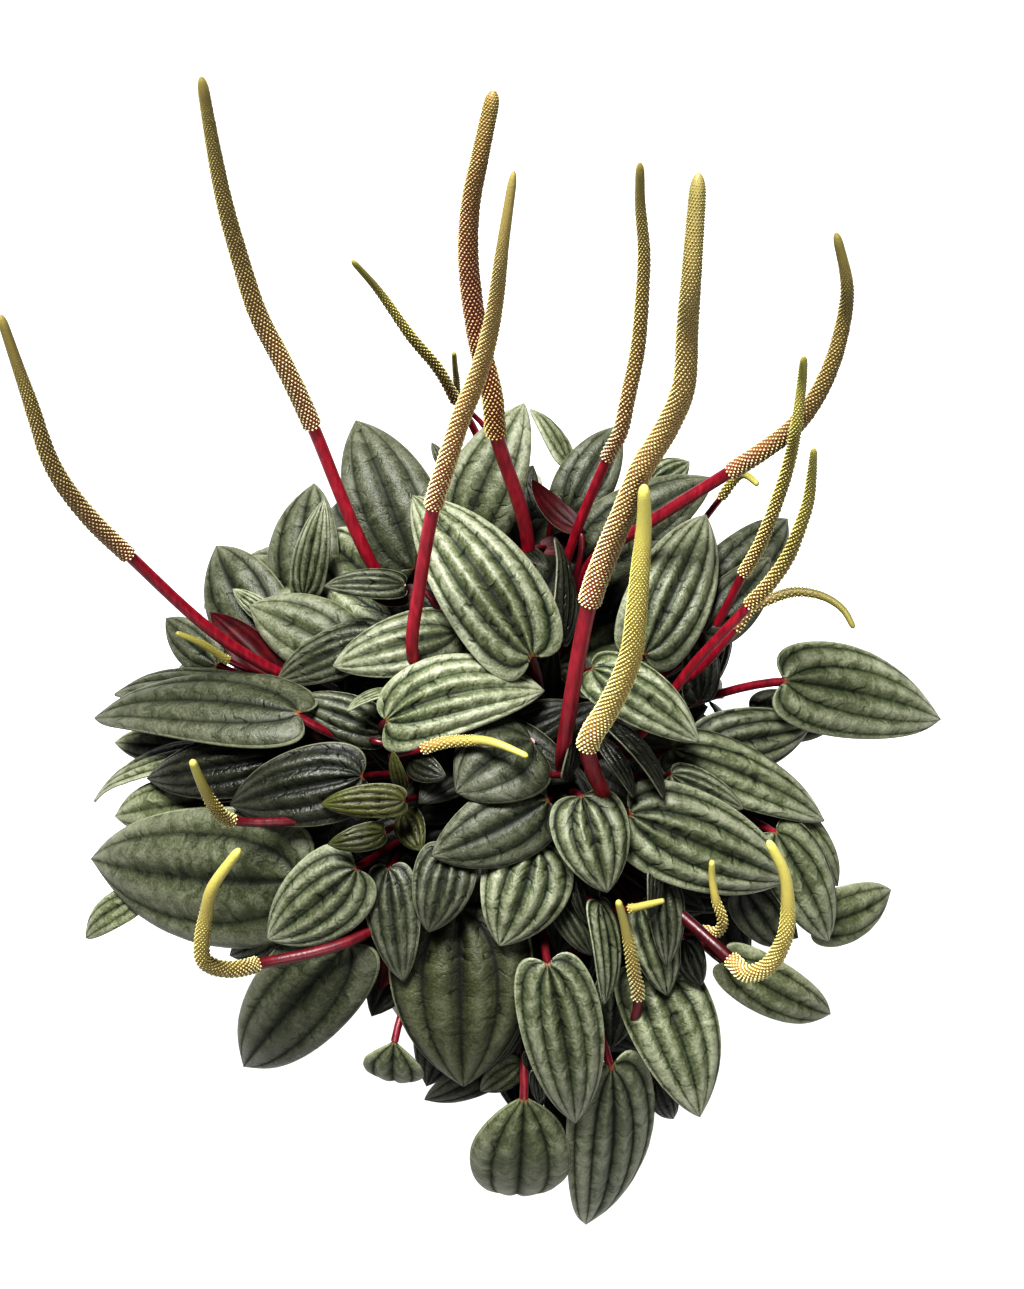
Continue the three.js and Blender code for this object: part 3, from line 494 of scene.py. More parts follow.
# Each row is: the foot, [across, up]; the tip, [across, up]; the width as it shows; how much deeper than
# the mound the tip hangs; and how the leaf looks, as listed with the leaf's material. A few rows go on with
# the blade's sideways bend, its arch, and how far the lobes of its heart reach back. Nearest first.
FRONT_LEAVES = [
    (20, -6, 47, -24, 15, 0, "silver"),
    (5, -3, -25, 38, 25, 0, "silver"),
    (-31.5, -19, 8.3, -11.3, 20.5, 0, "silver", 0.3),
    (33, -2.5, 49, 33, 21, 0, "green"),
    (13, 1, 12, 27, 6, 3, "dark"),
    (17.5, -38, 24, -62, 19, 0, "green"),
    (5, -24, -14, -36.5, 24, 0, "slate"),
    (9, -39, -20, -53, 20, 0, "slate"),
    (6, -50, -3, -75.5, 22.5, 0, "green"),
    (-15.5, -51, -21, -72, 15.5, 0, "dim"),
    (25, -19, 39, -38, 6, 0, "dark"),
    (23, -24, 31, -38, 5, 2, "dark"),
    (14, -33, 15.5, -18, 4, 2, "dark"),
    (29.5, -42.5, 70, -59, 24, 0, "green"),
    (40, -32.5, 58, -41, 9, 0, "green"),
    (40, -26, 79, -43.5, 16, 0, "light"),
    (68.5, -9, 108.5, -18.5, 22.5, 6, "light"),
    (47, -26, 75, -20.5, 16.5, 0, "green"),
    (60, -17, 80, -21, 13, 0, "slate"),
    (66, -47, 80, -74.5, 16, 6, "light"),
    (69, -42.5, 82, -60.5, 10.5, 4, "far"),
    (76, -70, 95.5, -61.5, 14, 8, "far"),
    (22, -64.5, 24, -90, 8, 0, "green"),
    (36, -55, 35, -69, 4.5, 2, "dark"),
    (38, -59, 39, -80.5, 9, 0, "dim"),
    (32, -65, 39, -88, 12.5, 0, "green"),
    (16, -57, 20, -71, 6, 2, "dark"),
    (12, -64, 20, -78, 8, 2, "dim"),
    (9, -80, 16, -120.5, 20.5, 0, "green"),
    (43, -74, 47.5, -85.5, 8, 3, "dark"),
    (33.5, -80, 47.5, -118, 22, 5, "green"),
    (25, -106, 19.5, -147, 22, 22, "light"),
    (36, -109, 40.5, -119, 7.5, 6, "dark"),
    (-39, -56, -61.5, -74, 21, 0, "green"),
    (-31, -56, -27.5, -84.5, 13.5, 0, "dim"),
    (-13.3, -66, -12.3, -111, 35.5, 0, "moss"),
    (3, -92, -5.5, -106, 6, 4, "dark"),
    (4, -102, 4.5, -107, 3, 6, "dark"),
    (6, -107, 7, -115, 4, 8, "dark"),
    (3, -113.5, 0.8, -137.5, 24.5, 30, "far", 0.0, 0.2, 0.1),
    (-41, -75, -68, -106.5, 25, 8, "soft"),
    (-32, -75, -33, -86, 9, 6, "red"),
    (-53.5, -17, -105.5, -16.5, 18.5, 4, "soft"),
    (-27, -39, -48, -40, 8.5, 0, "young"),
    (-27, -42, -23, -51.5, 8, 0, "young"),
    (-27.5, -36, -30, -27, 4, 0, "young"),
    (-37.5, -33, -71, -40, 20, 0, "dark"),
    (-57, -28, -92, -33.5, 16, 0, "dark"),
    (-53.5, -59.3, -106.8, -54, 34.5, 6, "broad"),
    (-75.5, -39, -100, -43, 14, 4, "far"),
    (-73, -25, -105.5, -37.5, 7.5, 4, "pale"),
    (-78, -26, -100, -24.5, 10, 4, "far"),
    (-58, -72.5, -71, -78, 9, 6, "dark"),
    (-94, -63.5, -107.3, -73.3, 8.5, 10, "far"),
    (-13.5, 3, -45, -5, 16, 0, "green"),
    (-27, 15, -47, 15, 7.5, 0, "dim"),
    (-24, 13, -35, 11, 5, 2, "red"),
    (-24.5, 19, -39.3, 56.5, 23.5, 2, "soft"),
    (-30, -11, -41.5, -16, 3.5, 0, "pale"),
    (-32, -22, -54.5, -13.5, 12, 0, "dim"),
    (-35, -24, -52, -21.5, 8, 3, "red"),
    (-34, 2.5, -59.5, -9, 12.5, 0, "dim"),
    (-40.5, -2.5, -66, 10, 19, 0, "broad"),
    (-58, 5, -70, 14, 6, 0, "pale"),
    (-58.5, -8.5, -75, 8, 10, 0, "red"),
    (-62.5, 3, -74.5, 25, 20, 2, "soft"),
    (-52, 12, -47.5, 36, 9, 0, "green"),
    (-53, 11, -50, 40.8, 17.5, 2, "soft"),
    (-69, -9.5, -100, -11, 9, 4, "slate"),
    (-74, -5, -87, 6.8, 11, 4, "soft"),
    (3, 24, 9, 19, 4, 0, "dark"),
    (16, 29, 4.5, 41, 6, 0, "red"),
    (8, 24, 19, 28, 5, 0, "red"),
    (-13, 25, 2.6, 60.5, 20, 0, "broad"),
    (-17, 45, -20, 50.5, 3, 2, "slate"),
    (16.5, 20, 50, 42, 19, 0, "soft"),
    (14, 33, 26.5, 55, 14.5, 0, "slate"),
    (35, 41, 44.5, 46, 8, 4, "green"),
    (14, 46, 5, 59.5, 6, 6, "far"),
    (48, 3, 65, 22, 14, 0, "slate"),
    (48, 11, 69.5, 32, 16, 4, "slate"),
    (47, -14, 45.5, 6.5, 9.5, 0, "dark"),
    (52.5, 5, 48, -13, 7.5, 2, "dark"),
    (-32, -47, -46, -50, 7, 0, "bronze"),
    (-25.5, -29, -17, -33, 7.5, 0, "dark"),
    (54, -79.5, 80.5, -93, 14, 8, "far"),
    (58, -61, 68, -76, 12.5, 6, "slate"),
    (2, -105, -8, -112, 7.5, 8, "far"),
    (1, -102.5, -22, -114.5, 10, 6, "slate"),
    (-29.5, -99.5, -28.5, -108.5, 15, 22, "far", 0.0, 0.2, -0.3),
    (27, -83, 25, -101, 12, 0, "dark"),
]

# The blade's outline: veins run from the foot to the tip, s along and t across. The outer veins first
# swing back round the lobes of the heart.
FADE_POWER = 0.6
TIP_DROOP = 0.045
DROOP_SHARE = 0.3
TWIST_MIDDLE = 0.35
STACK_RIPPLE = 0.07
STACK_CAMBER = 0.1


def blade_outline(s, t, lobes=1.0):
    lobe = 4 * (1 - s) ** 3 * s
    middle = 6 * (1 - s) ** 2 * s**2
    shoulder = 4 * (1 - s) * s**3
    along = lobe * (0.2 - 0.42 * lobes * t * t) + middle * (0.46 - 0.1 * t * t) + shoulder * 0.8 + s**4
    return along, t * (lobe * 1.15 + middle * 1.36 + shoulder * 0.92)


def blade_places(blade, s, t, relief, below=0.0):
    """Places on a blade, in its own space. relief is the height of its surface as a share of its width."""
    along, across = blade_outline(s, t, blade["lobes"])
    fade = np.maximum(0, 4 * s * (1 - s)) ** FADE_POWER
    droop = TIP_DROOP * (np.maximum(0, along - (1 - DROOP_SHARE)) / DROOP_SHARE) ** 2
    arch = blade["arch"] * 4 * along * (1 - along) - droop
    lift = blade["twist"] * blade["width"] / 2 * across * (along - TWIST_MIDDLE)
    height = blade["width"] * fade * relief + blade["length"] * arch + lift - below
    across = across + blade["bend"] * 4 * along * (1 - along)
    places = blade["base"] + blade["length"] * along[..., None] * blade["along"]
    places = places + blade["width"] / 2 * across[..., None] * blade["across"]
    return places + height[..., None] * blade["face"]


# Each leaf in turn is set behind all those before it wherever their outlines meet on the sheet. It is
# moved back, and leaned lengthways and sideways, by the least that clears them.
CELL = 2.2
STACK_GAP = 1.3
STACK_STEPS = 22
STACK_THICKNESS = 0.9
EDGE_SHARE = 0.86
WIDE_BLADE = 16
LEANS = (0, -0.12, -0.24, -0.36, -0.48, 0.12, 0.24)
TILTS = (0, -0.15, 0.15, -0.3, 0.3)
LEAN_COST = 9
occupied = {}


def stack_places(blade):
    s, t = np.meshgrid(
        np.arange(2, STACK_STEPS - 1) / STACK_STEPS,
        EDGE_SHARE * (2 * np.arange(STACK_STEPS + 1) / STACK_STEPS - 1),
        indexing="ij",
    )
    ridges = 2 if blade["width"] > WIDE_BLADE else 1
    relief = STACK_RIPPLE * np.abs(np.sin(ridges * np.pi * t)) - STACK_CAMBER * t * t
    places = blade_places(blade, s, t, relief).reshape(-1, 3)
    cells = [tuple(cell) for cell in np.round(places[:, :2] / CELL).astype(int)]
    return places, cells


def stack_behind(blade):
    places, cells = stack_places(blade)
    met = [i for i, cell in enumerate(cells) if cell in occupied]
    best = (math.inf, 0, 0, 0) if met else (0, 0, 0, 0)
    if met:
        covered = places[met]
        offset = covered - blade["base"]
        x, y = offset @ blade["along"], offset @ blade["across"]
        behind = covered[:, 2] + STACK_GAP - np.array([occupied[cells[i]] for i in met])
        for lean in LEANS:
            for tilt in TILTS:
                push = max(-lean * blade["length"] / 2, (behind - lean * x - tilt * y).max())
                cost = push + lean * blade["length"] / 2 + LEAN_COST * (abs(lean) + abs(tilt))
                best = min(best, (cost, push, lean, tilt), key=lambda choice: choice[0])
    cost, push, lean, tilt = best
    blade["base"] = blade["base"] - [0, 0, push]
    blade["along"] = blade["along"] - [0, 0, lean]
    blade["across"] = blade["across"] - [0, 0, tilt]
    blade["face"] = unit(np.cross(blade["along"], blade["across"]))
    places, cells = stack_places(blade)
    for cell, depth in zip(cells, places[:, 2]):
        occupied[cell] = min(depth - STACK_THICKNESS, occupied.get(cell, math.inf))


front_blades = [front_blade(row) for row in FRONT_LEAVES]
for blade in front_blades:
    stack_behind(blade)

# Smaller leaves in the shade fill the gaps between these. They are tried in a sunflower's order. One grows
# where part of it is uncovered, and all of it lies inside the mound's outline, with leaves on all sides.
# A few gaps stay open, each given as its middle, [across, up], and its reach.
SHADE_TRIES = 260
SHADE_REACH = 96.0
SUNFLOWER_TURN = math.radians(137.508)
SHADE_LENGTH = (20.0, 32.0)
SHADE_SHARE = 0.56
SHADE_HEADING = 0.6
SHADE_MIDDLE_UP = MOUND_MIDDLE_UP + 4
COVERED_LEAST = 0.3
COVERED_MOST = 0.94
GAP_CELLS = 13
SIDES_CLOSED = 7
OPEN_GAPS = [(60, -6, 10), (8, 50, 3.5), (51, -87, 6), (-43, 24, 3.5)]
grid_middle = 80
taken = np.zeros((2 * grid_middle, 2 * grid_middle), bool)
for column, row in occupied:
    taken[column + grid_middle, row + grid_middle] = True
sides_met = np.zeros(taken.shape, int)
for turn in ((0, 1), (1, 1), (1, 0), (1, -1), (0, -1), (-1, -1), (-1, 0), (-1, 1)):
    met = np.zeros(taken.shape, bool)
    for step in range(1, GAP_CELLS + 1):
        met |= np.roll(taken, (turn[0] * step, turn[1] * step), (0, 1))
    sides_met += met
inside = taken | (sides_met >= SIDES_CLOSED)
columns, rows = np.ogrid[-grid_middle:grid_middle, -grid_middle:grid_middle]
for across, up, reach in OPEN_GAPS:
    inside[np.hypot(columns * CELL - across, rows * CELL - up) < reach] = False
shade_dice = np.random.default_rng(11)
shade_blades = []
for number in range(SHADE_TRIES):
    radius = SHADE_REACH * math.sqrt((number + 0.5) / SHADE_TRIES)
    angle = number * SUNFLOWER_TURN
    heading = angle + shade_dice.uniform(-SHADE_HEADING, SHADE_HEADING)
    half = shade_dice.uniform(*SHADE_LENGTH) / 2
    middle = np.array([radius * math.cos(angle), radius * math.sin(angle) + SHADE_MIDDLE_UP])
    step = half * np.array([math.cos(heading), math.sin(heading)])
    blade = front_blade((*(middle - step), *(middle + step), 2 * half * SHADE_SHARE, 0, "shade"))
    cells = stack_places(blade)[1]
    covered = sum(cell in occupied for cell in cells) / len(cells)
    enclosed = all(inside[column + grid_middle, row + grid_middle] for column, row in cells)
    if enclosed and COVERED_LEAST <= covered <= COVERED_MOST:
        stack_behind(blade)
        shade_blades.append(blade)

# Round the back the leaves stand in rings on the mound, with smaller ones under them.
MOUND_CENTRE = np.array([-4.0, 6.0, 96.0])
MOUND_RADII = np.array([89.0, 90.0, 74.0])
HOLLOW_DEPTH = 0.28
HOLLOW_AZIMUTH = 32
HOLLOW_WIDTH = 30
BACK_SWING = 7
BACK_SWING_STEP = 5.1
# Each ring is: its elevation, its first and its last azimuth, its number of leaves, their length and width,
# and how far out their feet and their tips stand, as shares of the mound.
BACK_RINGS = [
    (32, 48, 142, 5, 42, 27, 0.9, 1.03),
    (10, 36, 172, 6, 44, 28, 0.9, 1.03),
    (-13, 16, 186, 8, 42, 26, 0.9, 1.03),
    (54, 42, 138, 5, 38, 25, 0.84, 0.98),
    (44, 50, 130, 4, 34, 21, 0.78, 0.9),
    (21, 34, 160, 7, 36, 23, 0.78, 0.92),
    (-1, 14, 180, 8, 36, 22, 0.78, 0.92),
    (-22, 10, 178, 8, 34, 20, 0.76, 0.9),
]
BACK_LOOKS = ("green", "soft", "dim", "light", "silver", "soft")


def on_mound(azimuth, elevation, swell):
    swell *= 1 - HOLLOW_DEPTH * math.exp(-(((azimuth - HOLLOW_AZIMUTH) / HOLLOW_WIDTH) ** 2))
    azimuth, elevation = math.radians(azimuth), math.radians(elevation)
    level = math.cos(elevation)
    direction = np.array([math.cos(azimuth) * level, math.sin(azimuth) * level, math.sin(elevation)])
    return direction * swell * MOUND_RADII + MOUND_CENTRE


def back_ring(elevation, first, last, leaves, length, width, foot_reach, tip_reach):
    """The blades of one ring on the mound."""
    spread = math.degrees(length / 2 / MOUND_RADII[2])
    ring = []
    for index in range(leaves):
        azimuth = first + (last - first) * index / (leaves - 1)
        swing = BACK_SWING * math.sin(BACK_SWING_STEP * index + elevation)
        base = on_mound(azimuth, elevation + spread, foot_reach)
        tip = on_mound(azimuth + swing, elevation - spread, tip_reach)
        outward = unit(on_mound(azimuth, elevation, 1) - MOUND_CENTRE)
        look = BACK_LOOKS[(index + elevation) % len(BACK_LOOKS)]
        ring.append(make_blade(base, tip, outward, width, np.asarray, look))
    return ring


back_blades = [blade for ring in BACK_RINGS for blade in back_ring(*ring)]

# ---- The leaf blades ----
# Each blade is a thick waxy heart, drawn out to a point. Its upper face is quilted between sunken veins:
# silver-green along the ridges, near black in the grooves, with dark feathering up their sides. The dark of
# the grooves and their banks is partly the leaf's own colour and partly painted shade. The margin curls down
# with a fine pale rim, and the underside is wine red.
RIDGE_SPREAD = 0.1
VEIN_SPREAD = 1.15
RIPPLE = 0.062
RIPPLE_NARROWING = 0.17
MIDRIB_DEPTH = 0.022
MIDRIB_WIDTH = 0.1
CAMBER = 0.085
MARGIN_CURL = 0.04
QUILTING = 0.005
QUILT_LENGTH = 4.4
QUILT_SLANT = 0.7
SIDE_VEIN_STEP = 5.0
SIDE_VEIN_SLANT = 5.0
BLADE_THICKNESS = 0.85
MARGIN_THICKNESS = 0.4
MOST_WAVE = 0.03
MARGIN_WAVES = 1.6
CREST_POWER = 0.95
CALM_TIP = 0.4
WANDER_SHARE = 0.12
TONE_RANGE = (0.85, 1.15)
VEINS_RANGE = (0.75, 1.1)
PALE_RIM_FROM = 0.97
# Each look is: how light the skin is, how young it is, how dark its veins are, how high its ridges stand, how
# matt it is, and how many ridges it has from the midrib to the margin. The shade look's dark skin is painted
# shade, for the gaps between the leaves.
LOOK_NUMBERS = ("tone", "youth", "veins", "ripple", "matt", "ridges")
LEAF_LOOKS = {
    "silver": (0.84, 0.0, 0.9, 1.2, 0.36, 2.4),
    "green": (0.66, 0.0, 0.86, 1.15, 0.38, 2.4),
    "light": (0.82, 0.0, 0.76, 0.6, 0.46, 2.3),
    "broad": (0.48, 0.05, 0.72, 0.5, 0.46, 1.8),
    "soft": (0.33, 0.05, 0.74, 0.5, 0.46, 1.8),
    "moss": (0.28, 0.25, 0.8, 0.7, 0.44, 2.2),
    "pale": (0.75, 0.06, 0.8, 0.8, 0.44, 2.4),
    "dim": (0.32, 0.0, 0.92, 1.0, 0.36, 2.4),
    "slate": (0.3, 0.0, 0.75, 0.6, 0.44, 1.9),
    "dark": (0.13, 0.0, 1.0, 1.1, 0.32, 2.4),
    "far": (0.7, 0.08, 0.6, 0.45, 0.5, 1.8),
    "shade": (0.1, 0.0, 0.9, 0.9, 0.48, 2.4),
    "young": (0.22, 1.0, 0.95, 0.9, 0.34, 2.3),
    "bronze": (0.2, 0.8, 0.95, 0.9, 0.34, 2.3),
    "red": (0.5, 0.0, 0.8, 0.3, 0.4, 2.0),
}


GROWN_GREENS = [
    (0.0, (0.0008, 0.0012, 0.0003)),
    (0.3, (0.0072, 0.0108, 0.0036)),
    (0.6, (0.0480, 0.0555, 0.0285)),
    (1.0, (0.2010, 0.2070, 0.1520)),
]
YOUNG_GREENS = [(0.0, (0.008, 0.006, 0.002)), (0.35, (0.038, 0.037, 0.008)), (1.0, (0.150, 0.165, 0.040))]
PALE_RIM = (0.17, 0.18, 0.12, 1)
RUSTY_FOOT = (0.07, 0.030, 0.010, 1)
WINE_REDS = [(0.3, (0.007, 0.001, 0.001)), (0.55, (0.020, 0.0012, 0.002)), (0.75, (0.042, 0.0025, 0.004))]


def attribute(tree, name):
    """A number that the mesh itself keeps at each of its points."""
    return add_node(tree, "ShaderNodeAttribute", attribute_name=name).outputs["Fac"]


def brightened(tree, colour, times):
    return add_node(tree, "ShaderNodeVectorMath", {0: colour, "Scale": times}, operation="SCALE").outputs[0]


leaf_skin, tree, shader, place = surface("quilted leaf, upper face", 0.34, 0.16)
across, along = attribute(tree, "vein_across"), attribute(tree, "vein_along")
tone, youth = attribute(tree, "tone"), attribute(tree, "youth")
veins, matt = attribute(tree, "veins"), attribute(tree, "matt")
leaf_map = add_node(tree, "ShaderNodeUVMap", uv_map="leaf").outputs[0]
spot = add_node(tree, "ShaderNodeSeparateXYZ", {0: leaf_map})
skin_place = add_node(tree, "ShaderNodeCombineXYZ", {0: spot.outputs[0], 1: spot.outputs[1]}).outputs[0]
mottle = maths(tree, "SUBTRACT", speckle(tree, skin_place, 0.28, 3, 0.6), 0.5)
grain = maths(tree, "SUBTRACT", speckle(tree, skin_place, 1.5, 3, 0.65), 0.5)
# main veins: a fine dark line at the bottom of each groove
strip = attribute(tree, "strip")
off_groove = maths(tree, "PINGPONG", strip, 0.5)
near_tip = maths(tree, "MULTIPLY_ADD", along, 5.0, -4.0, clamp=True)
groove = maths(tree, "SUBTRACT", 1.0, maths(tree, "MULTIPLY", off_groove, 9.0), clamp=True)
groove = maths(tree, "MULTIPLY", groove, maths(tree, "SUBTRACT", 1.0, near_tip))
narrowing = maths(tree, "MULTIPLY_ADD", speckle(tree, skin_place, 0.12, 2), 6.0, 1.0)
valley = maths(tree, "SUBTRACT", 1.0, maths(tree, "MULTIPLY", off_groove, narrowing), clamp=True)
# side veins: creases that leave the grooves on a slant toward the tip, and fade out on the ridges
wander = speckle(tree, skin_place, 0.17, 2)
slant = maths(tree, "MULTIPLY_ADD", off_groove, -SIDE_VEIN_SLANT, spot.outputs[1])
turn = maths(tree, "MULTIPLY_ADD", slant, 1 / SIDE_VEIN_STEP, maths(tree, "MULTIPLY", wander, 2.6))
turn = maths(tree, "MULTIPLY_ADD", maths(tree, "FLOOR", strip), 0.37, turn)
between = maths(tree, "ABSOLUTE", maths(tree, "SINE", maths(tree, "MULTIPLY", turn, math.pi)))
crease = maths(tree, "POWER", maths(tree, "SUBTRACT", 1.0, between), 3.0)
fading = maths(tree, "SUBTRACT", 1.0, maths(tree, "MULTIPLY", off_groove, 1.75))
patchy = maths(tree, "SUBTRACT", speckle(tree, skin_place, 0.23, 1), 0.42)
patchy = maths(tree, "MULTIPLY_ADD", patchy, 4.0, 0.2, clamp=True)
crease = maths(tree, "MULTIPLY", maths(tree, "MULTIPLY", crease, fading), patchy)
# how light the skin is, from its darkest to its most silver
feather_place = {0: maths(tree, "MULTIPLY", off_groove, 1.3), 1: maths(tree, "MULTIPLY", turn, 2.1)}
feather_place[2] = maths(tree, "FLOOR", strip)
feather = speckle(tree, add_node(tree, "ShaderNodeCombineXYZ", feather_place).outputs[0], 1.0, 3, 0.6)
outer = maths(tree, "MULTIPLY_ADD", strip, 0.06, maths(tree, "MULTIPLY_ADD", along, 0.20, 0.36))
shade = maths(tree, "MULTIPLY_ADD", mottle, 0.42, outer)
shade = maths(tree, "MULTIPLY_ADD", feather, 0.46, shade)
shade = maths(tree, "MULTIPLY_ADD", grain, 0.4, shade)
shade = maths(tree, "MULTIPLY_ADD", near_tip, 0.1, shade)
# painted shade: each ridge is darkened down its banks toward the groove and across the valley; the valley's
# dark is partly the leaf's own colour and partly painted shade
painted_bank_shade = maths(tree, "POWER", maths(tree, "MULTIPLY_ADD", off_groove, -2.0, 1.0, clamp=True), 1.3)
vein_marks_and_painted_shade = maths(tree, "MULTIPLY_ADD", painted_bank_shade, 0.27, maths(tree, "MULTIPLY", crease, 0.52))
vein_marks_and_painted_shade = maths(tree, "MULTIPLY_ADD", valley, 0.14, vein_marks_and_painted_shade)
vein_marks_and_painted_shade = maths(tree, "MULTIPLY", vein_marks_and_painted_shade, maths(tree, "MULTIPLY_ADD", along, -0.7, 1.25))
vein_marks_and_painted_shade = maths(tree, "MULTIPLY_ADD", groove, 0.26, vein_marks_and_painted_shade)
shade = maths(tree, "SUBTRACT", shade, maths(tree, "MULTIPLY", vein_marks_and_painted_shade, veins), clamp=True)
grown_green = ramp(tree, shade, GROWN_GREENS)
young_green = ramp(tree, shade, YOUNG_GREENS)
colour = mixed(tree, youth, grown_green, young_green)
colour = brightened(tree, colour, tone)
rim = maths(tree, "GREATER_THAN", maths(tree, "ABSOLUTE", across), PALE_RIM_FROM)
colour = mixed(tree, maths(tree, "MULTIPLY", rim, 0.3), colour, PALE_RIM)
foot = maths(tree, "SUBTRACT", 1.0, maths(tree, "MULTIPLY", along, 32.0), clamp=True)
colour = mixed(tree, foot, colour, RUSTY_FOOT)
tree.links.new(colour, shader.inputs["Base Color"])
dull = maths(tree, "MULTIPLY_ADD", maths(tree, "POWER", valley, 2.0), 0.4, matt)
tree.links.new(maths(tree, "MULTIPLY_ADD", grain, 0.5, dull, clamp=True), shader.inputs["Roughness"])
relief = maths(tree, "MULTIPLY_ADD", crease, -0.4, maths(tree, "MULTIPLY", grain, 0.34))
relief = maths(tree, "MULTIPLY_ADD", feather, 0.3, relief)
raise_surface(tree, shader, maths(tree, "MULTIPLY_ADD", mottle, 0.5, relief), 0.0006, 0.9)

leaf_underside, tree, shader, place = surface("leaf, wine red underside", 0.55, 0.1)
paint(tree, shader, speckle(tree, place, 160, 4, 0.6), WINE_REDS)
raise_surface(tree, shader, speckle(tree, place, 1500), 0.00008, 0.6)


def blade_mesh(blade, lines_a_side, stations, seed):
    """A blade's vertices, faces and the numbers that its material reads. The last faces are underneath."""
    dice = np.random.default_rng(seed)
    look = dict(zip(LOOK_NUMBERS, LEAF_LOOKS[blade["look"]]))
    wave, phase = dice.uniform(0, MOST_WAVE), dice.uniform(0, 2 * math.pi)
    rows = np.arange(1, stations) / stations
    steps = np.arange(-lines_a_side, lines_a_side + 1) / lines_a_side
    lines = np.sign(steps) * np.abs(steps) ** (1 / VEIN_SPREAD)
    columns = len(lines)
    ridges = look["ridges"] * dice.uniform(1 - RIDGE_SPREAD, 1 + RIDGE_SPREAD)
    s, t = (grid.ravel() for grid in np.meshgrid(rows, lines, indexing="ij"))
    s, t = np.concatenate([[0], s, [1]]), np.concatenate([[0], t, [0]])
    strip = ridges * np.abs(t) ** VEIN_SPREAD
    crest = np.abs(np.sin(np.pi * strip)) ** CREST_POWER
    calm = np.clip((1 - s) / CALM_TIP, 0, 1)
    along_mm, across_mm = blade_outline(s, t, blade["lobes"])
    along_mm, across_mm = along_mm * blade["length"], across_mm * blade["width"] / 2
    wander = np.sin(along_mm * 0.9 + phase) + np.sin(along_mm * 0.37 + 3 * t + 2 * phase)
    turn = along_mm / QUILT_LENGTH - QUILT_SLANT * (strip % 1) + WANDER_SHARE * wander + 0.5 * np.floor(strip)
    quilts = np.sin(2 * np.pi * turn) * crest * calm
    relief = (
        look["ripple"] * RIPPLE * crest * (1 - RIPPLE_NARROWING * strip) * calm
        - MIDRIB_DEPTH * np.exp(-((t / MIDRIB_WIDTH) ** 2))
        - CAMBER * t**2
        - MARGIN_CURL * t**8
        + QUILTING * quilts
        + wave * np.sin(2 * np.pi * MARGIN_WAVES * s + phase + 1.5 * np.sign(t)) * np.abs(t) ** 3
    )
    thickness = BLADE_THICKNESS + (MARGIN_THICKNESS - BLADE_THICKNESS) * t**6
    places = np.concatenate([blade_places(blade, s, t, relief), blade_places(blade, s, t, relief, thickness)])
    under, last = len(s), len(s) - 1

    def at(row, column):
        return 1 + (row - 1) * columns + column

    top = []
    for j in range(columns - 1):
        top.append((0, at(1, j), at(1, j + 1)))
        for i in range(1, stations - 1):
            top.append((at(i, j), at(i + 1, j), at(i + 1, j + 1), at(i, j + 1)))
        top.append((at(stations - 1, j), last, at(stations - 1, j + 1)))
    there = [at(i, 0) for i in range(1, stations)]
    back = [at(i, columns - 1) for i in range(stations - 1, 0, -1)]
    margin = [0, *there, last, *back]
    edge = [(a, a + under, b + under, b) for a, b in zip(margin, margin[1:] + margin[:1])]
    bottom = [tuple(corner + under for corner in reversed(face)) for face in top]
    # Every blade reads its own stretch of the skin's pattern.
    uv = np.stack([across_mm + 61 * seed, along_mm + 37 * seed], -1)
    return {
        "places": blade["to_part"](places) * MM,
        "upper": top + edge,
        "lower": bottom,
        "vein_across": np.tile(t, 2),
        "strip": np.tile(strip, 2),
        "vein_along": np.tile(s, 2),
        "uv": np.tile(uv, (2, 1)),
        "tone": np.full(2 * under, look["tone"] * dice.uniform(*TONE_RANGE)),
        "youth": np.full(2 * under, look["youth"]),
        "veins": np.full(2 * under, look["veins"] * dice.uniform(*VEINS_RANGE)),
        "matt": np.full(2 * under, look["matt"]),
    }


def add_leaves(name, blades, lines_a_side, stations):
    meshes = [blade_mesh(blade, lines_a_side, stations, seed + 1) for seed, blade in enumerate(blades)]
    vertices, faces, lower = [], [], []
    for made in meshes:
        first = sum(len(part) for part in vertices)
        vertices.append(made["places"])
        faces += [tuple(first + corner for corner in face) for face in made["upper"] + made["lower"]]
        lower += [0] * len(made["upper"]) + [1] * len(made["lower"])
    piece = add_object(name, np.concatenate(vertices), faces, leaf_skin)
    mesh = piece.data
    mesh.materials.append(leaf_underside)
    mesh.polygons.foreach_set("material_index", lower)
    for label in ("vein_across", "vein_along", "strip", "tone", "youth", "veins", "matt"):
        values = np.concatenate([made[label] for made in meshes]).astype(np.float32)
        mesh.attributes.new(label, "FLOAT", "POINT").data.foreach_set("value", values)
    corners = np.zeros(len(mesh.loops), np.int32)
    mesh.loops.foreach_get("vertex_index", corners)
    uv = np.concatenate([made["uv"] for made in meshes])[corners]
    mesh.uv_layers.new(name="leaf").data.foreach_set("uv", uv.ravel().astype(np.float32))
    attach(piece, "root")
    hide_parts("foliage")


# A red leaf is one that is turned over. A blade's mesh has so many lines on each side of its midrib, and so
# many stations from its foot to its tip.
FRONT_FINENESS = (15, 30)
SHADED_FINENESS = (8, 16)
BACK_FINENESS = (10, 18)
LEAVES_A_PIECE = 30
for blade in front_blades:
    if blade["look"] == "red":
        blade["face"], blade["across"] = -blade["face"], -blade["across"]
for number, first in enumerate(range(0, len(front_blades), LEAVES_A_PIECE), 1):
    add_leaves(f"leaves_front_{number}", front_blades[first : first + LEAVES_A_PIECE], *FRONT_FINENESS)
add_leaves("leaves_shaded", shade_blades, *SHADED_FINENESS)
add_leaves("leaves_back", back_blades, *BACK_FINENESS)

